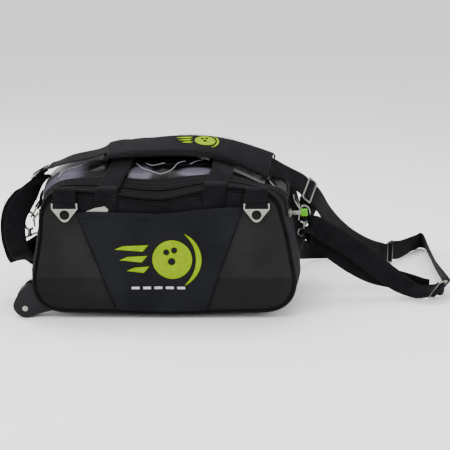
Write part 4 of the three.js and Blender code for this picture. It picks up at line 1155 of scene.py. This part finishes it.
left_inner = ribbon("strap_left_inner_webbing", [
    ((-216, -15, 233), (0.587, 0.776, 0.233)), ((-218.5, -15, 227), (0.587, 0.776, 0.233)),
    ((-230.5, -17, 213), (0.62, 0.77, 0.1)), ((-243.5, -26, 198), (0.8, 0.55, 0.1)),
    ((-255, -31, 182), (0.93, 0.3, 0.1)), ((-265, -34, 164), (0.98, 0.15, 0.05)),
    ((-269, -36, 142), (1, 0.05, 0)), ((-269, -34, 121), (1, 0.05, 0)), ((-266, -26, 101), (1, 0.1, 0)),
    ((-260.5, -17, 85), (0.93, 0.3, 0)), ((-256, -6, 79), (0.85, 0.5, 0)), ((-252, -1, 87), (0.7, 0.7, 0.1)),
    ((-249.5, -0.5, 97), (0.6, 0.79, 0.12)), ((-248.2, -3.4, 107.5), (0.6, 0.79, 0.12)),
], 200, curl=-0.0006, ride=False, replaces=("strap_left_inner",))
for strand in (left_outer, left_inner):
    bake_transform(strand)

upper = ribbon("strap_upper_webbing", through("right", *OFF_OVER, (16, -0.8)) + [
    ((275, 5, 176), (0.25, 0.6, 0.75)), ((292, 32, 146), (0.12, 0.45, 0.88)),
    ((316, 70, 111), (0.05, 0.25, 0.96)), ((348, 116, 75), (0, 0.1, 1)),
    ((386, 160, 45), (-0.05, 0.05, 1)), ((412, 188, 30), (-0.03, 0.02, 1)),
] + through("floor", (-17, 0), *ONTO, (4, 1)), 220, ride=False, replaces=("strap_upper",))
lower = ribbon("strap_lower_webbing", [
    ((251, 9, 196), (0.7, 0.6, 0.4)), ((256, 26, 164), (0.85, 0.45, 0.2)), ((257, 62, 126), (0.6, 0.55, 0.5)),
    ((249, 96, 98), (0.12, 0.45, 0.88)), ((244, 140, 64), (0.05, 0.25, 0.97)), ((252, 196, 34), (0, 0.1, 1)),
    ((282, 232, 22.5), (0, 0, 1)), ((322, 240, 20.5), (0, 0, 1)), ((366, 228, 20.5), (0, 0, 1)),
    ((404, 215, 21), (0, 0, 1)), ((421, 207.5, 22.5), (0, 0, 1)), ((429, 209, 23), (0, 0, 1)),
], 240, curl=0.0005, ride=False, replaces=("strap_lower",))
for strand in (upper, lower):
    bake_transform(strand)

ribbon("strap_corner_webbing", through("floor", *OFF_OVER, (16, -0.6)) + [
    ((456, 240, 20), (0, -0.05, 1)), ((478, 268, 19.4), (0, -0.25, 0.97)),
    ((497, 293, 19.7), (-0.05, -0.45, 0.88)), ((511, 309, 19.3), (-0.2, -0.4, 0.87)),
    ((517.5, 302, 19.6), (-0.27, -0.15, 0.95)), ((518.5, 282, 19), (-0.25, 0, 1)),
    ((517, 240, 18.8), (-0.27, 0, 1)), ((514, 172, 18.8), (-0.3, 0, 1)), ((513, 110, 18.8), (-0.34, 0, 1)),
    ((512, 56, 19), (-0.2, -0.1, 1)), ((508, 12, 19.4), (0.1, -0.3, 0.95)),
] + through("corner", (16, 0.5), (9.5, -2.0), (0, 2.3), (-4, 1)), 300, replaces=("strap_corner",))
ribbon("strap_front_webbing", [
    ((247, -4.5, 121), (0.5, 0.82, -0.25)), ((250, -7.5, 129), (0.5, 0.6, 0.3)),
    ((261, -11, 138), (0.35, 0, 0.94)), ((282, -10, 127), (0.42, 0, 0.9)), ((307, -9, 112), (0.45, 0, 0.88)),
    ((330, -9, 97), (0.5, 0, 0.86)), ((354, -9, 80), (0.52, 0, 0.85)), ((393, -10, 50), (0.52, 0, 0.85)),
    ((418, -15, 33), (0.4, -0.15, 0.9)), ((440, -22, 22), (0.2, -0.45, 0.87)),
    ((458, -27.3, 18.4), (0.25, -0.55, 0.78)),
] + through("corner", (-17, -0.8), (-9.5, -2.2), (0, 4.4), (5, 3)), 240, curl=-0.0006,
    replaces=("strap_front",))
ribbon("strap_back_webbing", [
    ((246.5, -1.5, 114), (0.5, 0.82, -0.25)), ((252, 2, 113), (0.5, 0.6, 0.3)),
    ((263, 5, 115), (0.38, 0, 0.93)), ((284, 6, 101), (0.5, 0, 0.86)), ((312, 6, 79), (0.5, 0, 0.86)),
    ((345, 6, 57), (0.45, 0, 0.9)), ((376, 6, 42), (0.35, 0, 0.94)), ((406, 3, 35), (0.2, -0.1, 0.97)),
    ((440, -6, 29), (0.2, -0.3, 0.93)), ((462, -16, 25.5), (0.28, -0.45, 0.85)),
    ((474, -20.5, 24.6), (0.34, -0.47, 0.8)),
], 220, curl=0.0006, replaces=("strap_back",))


# ------------------------------------------------------------------ hardware, wheels and inner pieces
def dress(name, material, bevel, angle=0.5):
    """A better surface on a CAD node: welded, lightly rounded edges and its own material."""
    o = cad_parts[name]
    o.data.materials.clear()
    o.data.materials.append(material)
    o.data.shade_smooth()
    o.modifiers.new("weld", "WELD").merge_threshold = 1e-5
    b = o.modifiers.new("bevel", "BEVEL")
    b.width, b.segments, b.limit_method, b.angle_limit = bevel, 2, "ANGLE", angle
    o.modifiers.new("normals", "WEIGHTED_NORMAL").keep_sharp = False
    return o


for name in ("slide_floor", "slide_corner", "key_clip", "axle_front", "axle_rear"):
    dress(name, NICKEL, 0.0004)
for word in ("front", "rear"):
    dress("wheel_housing_" + word, PLASTIC, 0.0011, 0.45)
    dress("wheel_" + word, RUBBER, 0.0008)
for name in ("base_skid", "base_board"):
    dress(name, PLASTIC, 0.001)
PULL_TAG_X = 0.2332                                  # where the zip pull's green tag starts
for word in ("left", "right"):
    for kind in ("slide_", "ring_", "hook_gate_", "zip_slider_", "end_ring_", "snap_hook_"):
        dress(kind + word, NICKEL, 0.0004)
    dress("ball_cup_" + word, FOAM, 0.0015)
    dress("end_tab_" + word, WEB, 0.0003)
    pull = dress("zip_pull_" + word, NICKEL, 0.0005)
    pull.data.materials.append(TAG)
    for f in pull.data.polygons:
        f.material_index = 1 if f.center.x > PULL_TAG_X else 0


# ------------------------------------------------------------------ embroidered emblem
def arc(cx, cy, r, a0, a1, n):
    return [(cx + r * math.cos(a), cy + r * math.sin(a)) for a in steps(a0, a1, n)]


def circle(cx, cy, r, n=48):
    return arc(cx, cy, r, 0.0, 2 * math.pi, n)[:-1]


def crescent(cx, cy, r0, r1, a0, a1, n=30):
    inner = []
    for k in range(n - 1, 0, -1):
        a = lerp(a0, a1, k / n)
        r = lerp(r1, r0, math.sin(math.pi * k / n) ** 0.8)
        inner.append((cx + r * math.cos(a), cy + r * math.sin(a)))
    return arc(cx, cy, r1, a0, a1, n) + inner


def streak(x0, x1, y):
    high, slant = 0.0115, 0.010
    return [(x0, y - high * 0.15), (x1 - slant, y - high / 2), (x1, y + high / 2),
            (x0 + slant * 1.4, y + high * 0.35)]


EMBLEM = [circle(0.020, 0.0, 0.034), crescent(0.020, 0.0, 0.0405, 0.050, -1.15, 1.15),
          streak(-0.078, -0.020, 0.020), streak(-0.070, -0.022, 0.001), streak(-0.058, -0.019, -0.018)]
HOLES = [circle(x, y, r, 20) for x, y, r in ((0.010, 0.013, 0.0052), (0.0235, 0.0165, 0.0052),
                                             (0.0190, -0.0035, 0.0064))]
DASH_LONG, DASH_LOW, DASH_HIGH = 0.0135, -0.0515, -0.0475
DASHES = [[(x, DASH_LOW), (x + DASH_LONG, DASH_LOW), (x + DASH_LONG, DASH_HIGH), (x, DASH_HIGH)]
          for x in np.arange(-0.050, 0.040, 0.0195)]
PATCH_EDGE, PATCH_THICK = 0.0035, 0.0006


def stitched_patch(name, shapes, place, material, body="bag"):
    """Flat outlines cut into small triangles and laid on a surface by place(x, y)."""
    bm = bmesh.new()
    for loop in shapes:
        face = bm.faces.new([bm.verts.new((x, y, 0)) for x, y in loop])
        bmesh.ops.triangulate(bm, faces=[face])
    for _ in range(5):
        long_edges = [e for e in bm.edges if e.calc_length() > PATCH_EDGE]
        if not long_edges:
            break
        bmesh.ops.subdivide_edges(bm, edges=long_edges, cuts=1)
        bmesh.ops.triangulate(bm, faces=bm.faces[:])
    for v in bm.verts:
        v.co = place(v.co.x, v.co.y)
    bmesh.ops.recalc_face_normals(bm, faces=bm.faces)
    me = bpy.data.meshes.new(name)
    bm.to_mesh(me)
    bm.free()
    me.shade_smooth()
    me.materials.append(material)
    o = add_object(name, me)
    mod = o.modifiers.new("thick", "SOLIDIFY")
    mod.thickness, mod.offset = PATCH_THICK, 0
    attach(o, body)


EMBLEM_X, EMBLEM_Z = -0.006, 0.109


def on_pocket(lift):
    def place(x, y):
        x, z = x + EMBLEM_X, y + EMBLEM_Z
        return panel_at(x, z, POCKET_STAND + 0.0001 + lift, centre_shape(x, z))
    return place


stitched_patch("emblem_front", EMBLEM, on_pocket(0.0005), LIME)
stitched_patch("emblem_front_holes", HOLES, on_pocket(0.0010), NAVY)
stitched_patch("emblem_front_dashes", DASHES, on_pocket(0.0005), SILVER)
PAD_EMBLEM_F, PAD_EMBLEM_B, PAD_EMBLEM_SIZE = 0.50, 0.006, 0.42


def on_pad_patch(lift):
    def place(x, y):
        return on_pad(PAD_EMBLEM_F + x * PAD_EMBLEM_SIZE / PAD_LONG, y * PAD_EMBLEM_SIZE + PAD_EMBLEM_B, lift)
    return place


stitched_patch("emblem_pad", EMBLEM, on_pad_patch(0.0005), LIME, body="lid")
stitched_patch("emblem_pad_holes", HOLES, on_pad_patch(0.0010), NYLON, body="lid")


# ------------------------------------------------------------------ camera, floor and light
SENSOR, LENS = 36, 93.144                  # millimetres
CAMERA_TILT = math.radians(15)
FLOOR_HALF = 8
camera = add_object("camera", bpy.data.cameras.new("camera"))
camera.data.sensor_width, camera.data.lens = SENSOR, LENS
camera.data.clip_start, camera.data.clip_end = 0.05, 50
camera.location = (0.104, -2.0284, 0.6795)
bpy.context.scene.camera = camera

floor = bpy.data.meshes.new("floor")
corners = [(x * FLOOR_HALF, y * FLOOR_HALF, 0) for x, y in ((-1, -1), (1, -1), (1, 1), (-1, 1))]
floor.from_pydata(corners, [], [(0, 1, 2, 3)])
floor.materials.append(Shader("floor_pale", color=(0.96, 0.96, 0.96, 1), rough=0.9).material)
floor_object = add_object("floor", floor)


def aim(o, direction):
    o.rotation_mode = "QUATERNION"
    o.rotation_quaternion = Vector(direction).to_track_quat("-Z", "Y")


def area_light(name, place, target, size, power):
    data = bpy.data.lights.new(name, "AREA")
    data.shape, data.size, data.size_y = "RECTANGLE", size[0], size[1]
    data.energy = power
    o = add_object(name, data)
    o.location = place
    aim(o, Vector(target) - Vector(place))


area_light("key", (-0.9, -1.5, 1.9), (0.05, 0, 0.12), (1.2, 1.2), 34)
area_light("fill", (1.5, -1.3, 1.0), (0.1, 0, 0.12), (1.4, 1.4), 16)
area_light("top", (0.0, 0.35, 1.8), (0.0, 0, 0.2), (1.6, 0.7), 26)
area_light("rim", (-1.5, 0.9, 0.9), (-0.1, 0, 0.15), (0.8, 1.2), 12)
aim(camera, (0, math.cos(CAMERA_TILT), -math.sin(CAMERA_TILT)))
world = bpy.data.worlds.new("studio")
world.use_nodes = True
world.node_tree.nodes["Background"].inputs[0].default_value = (1, 1, 1, 1)
world.node_tree.nodes["Background"].inputs[1].default_value = 1.25
bpy.context.scene.world = world
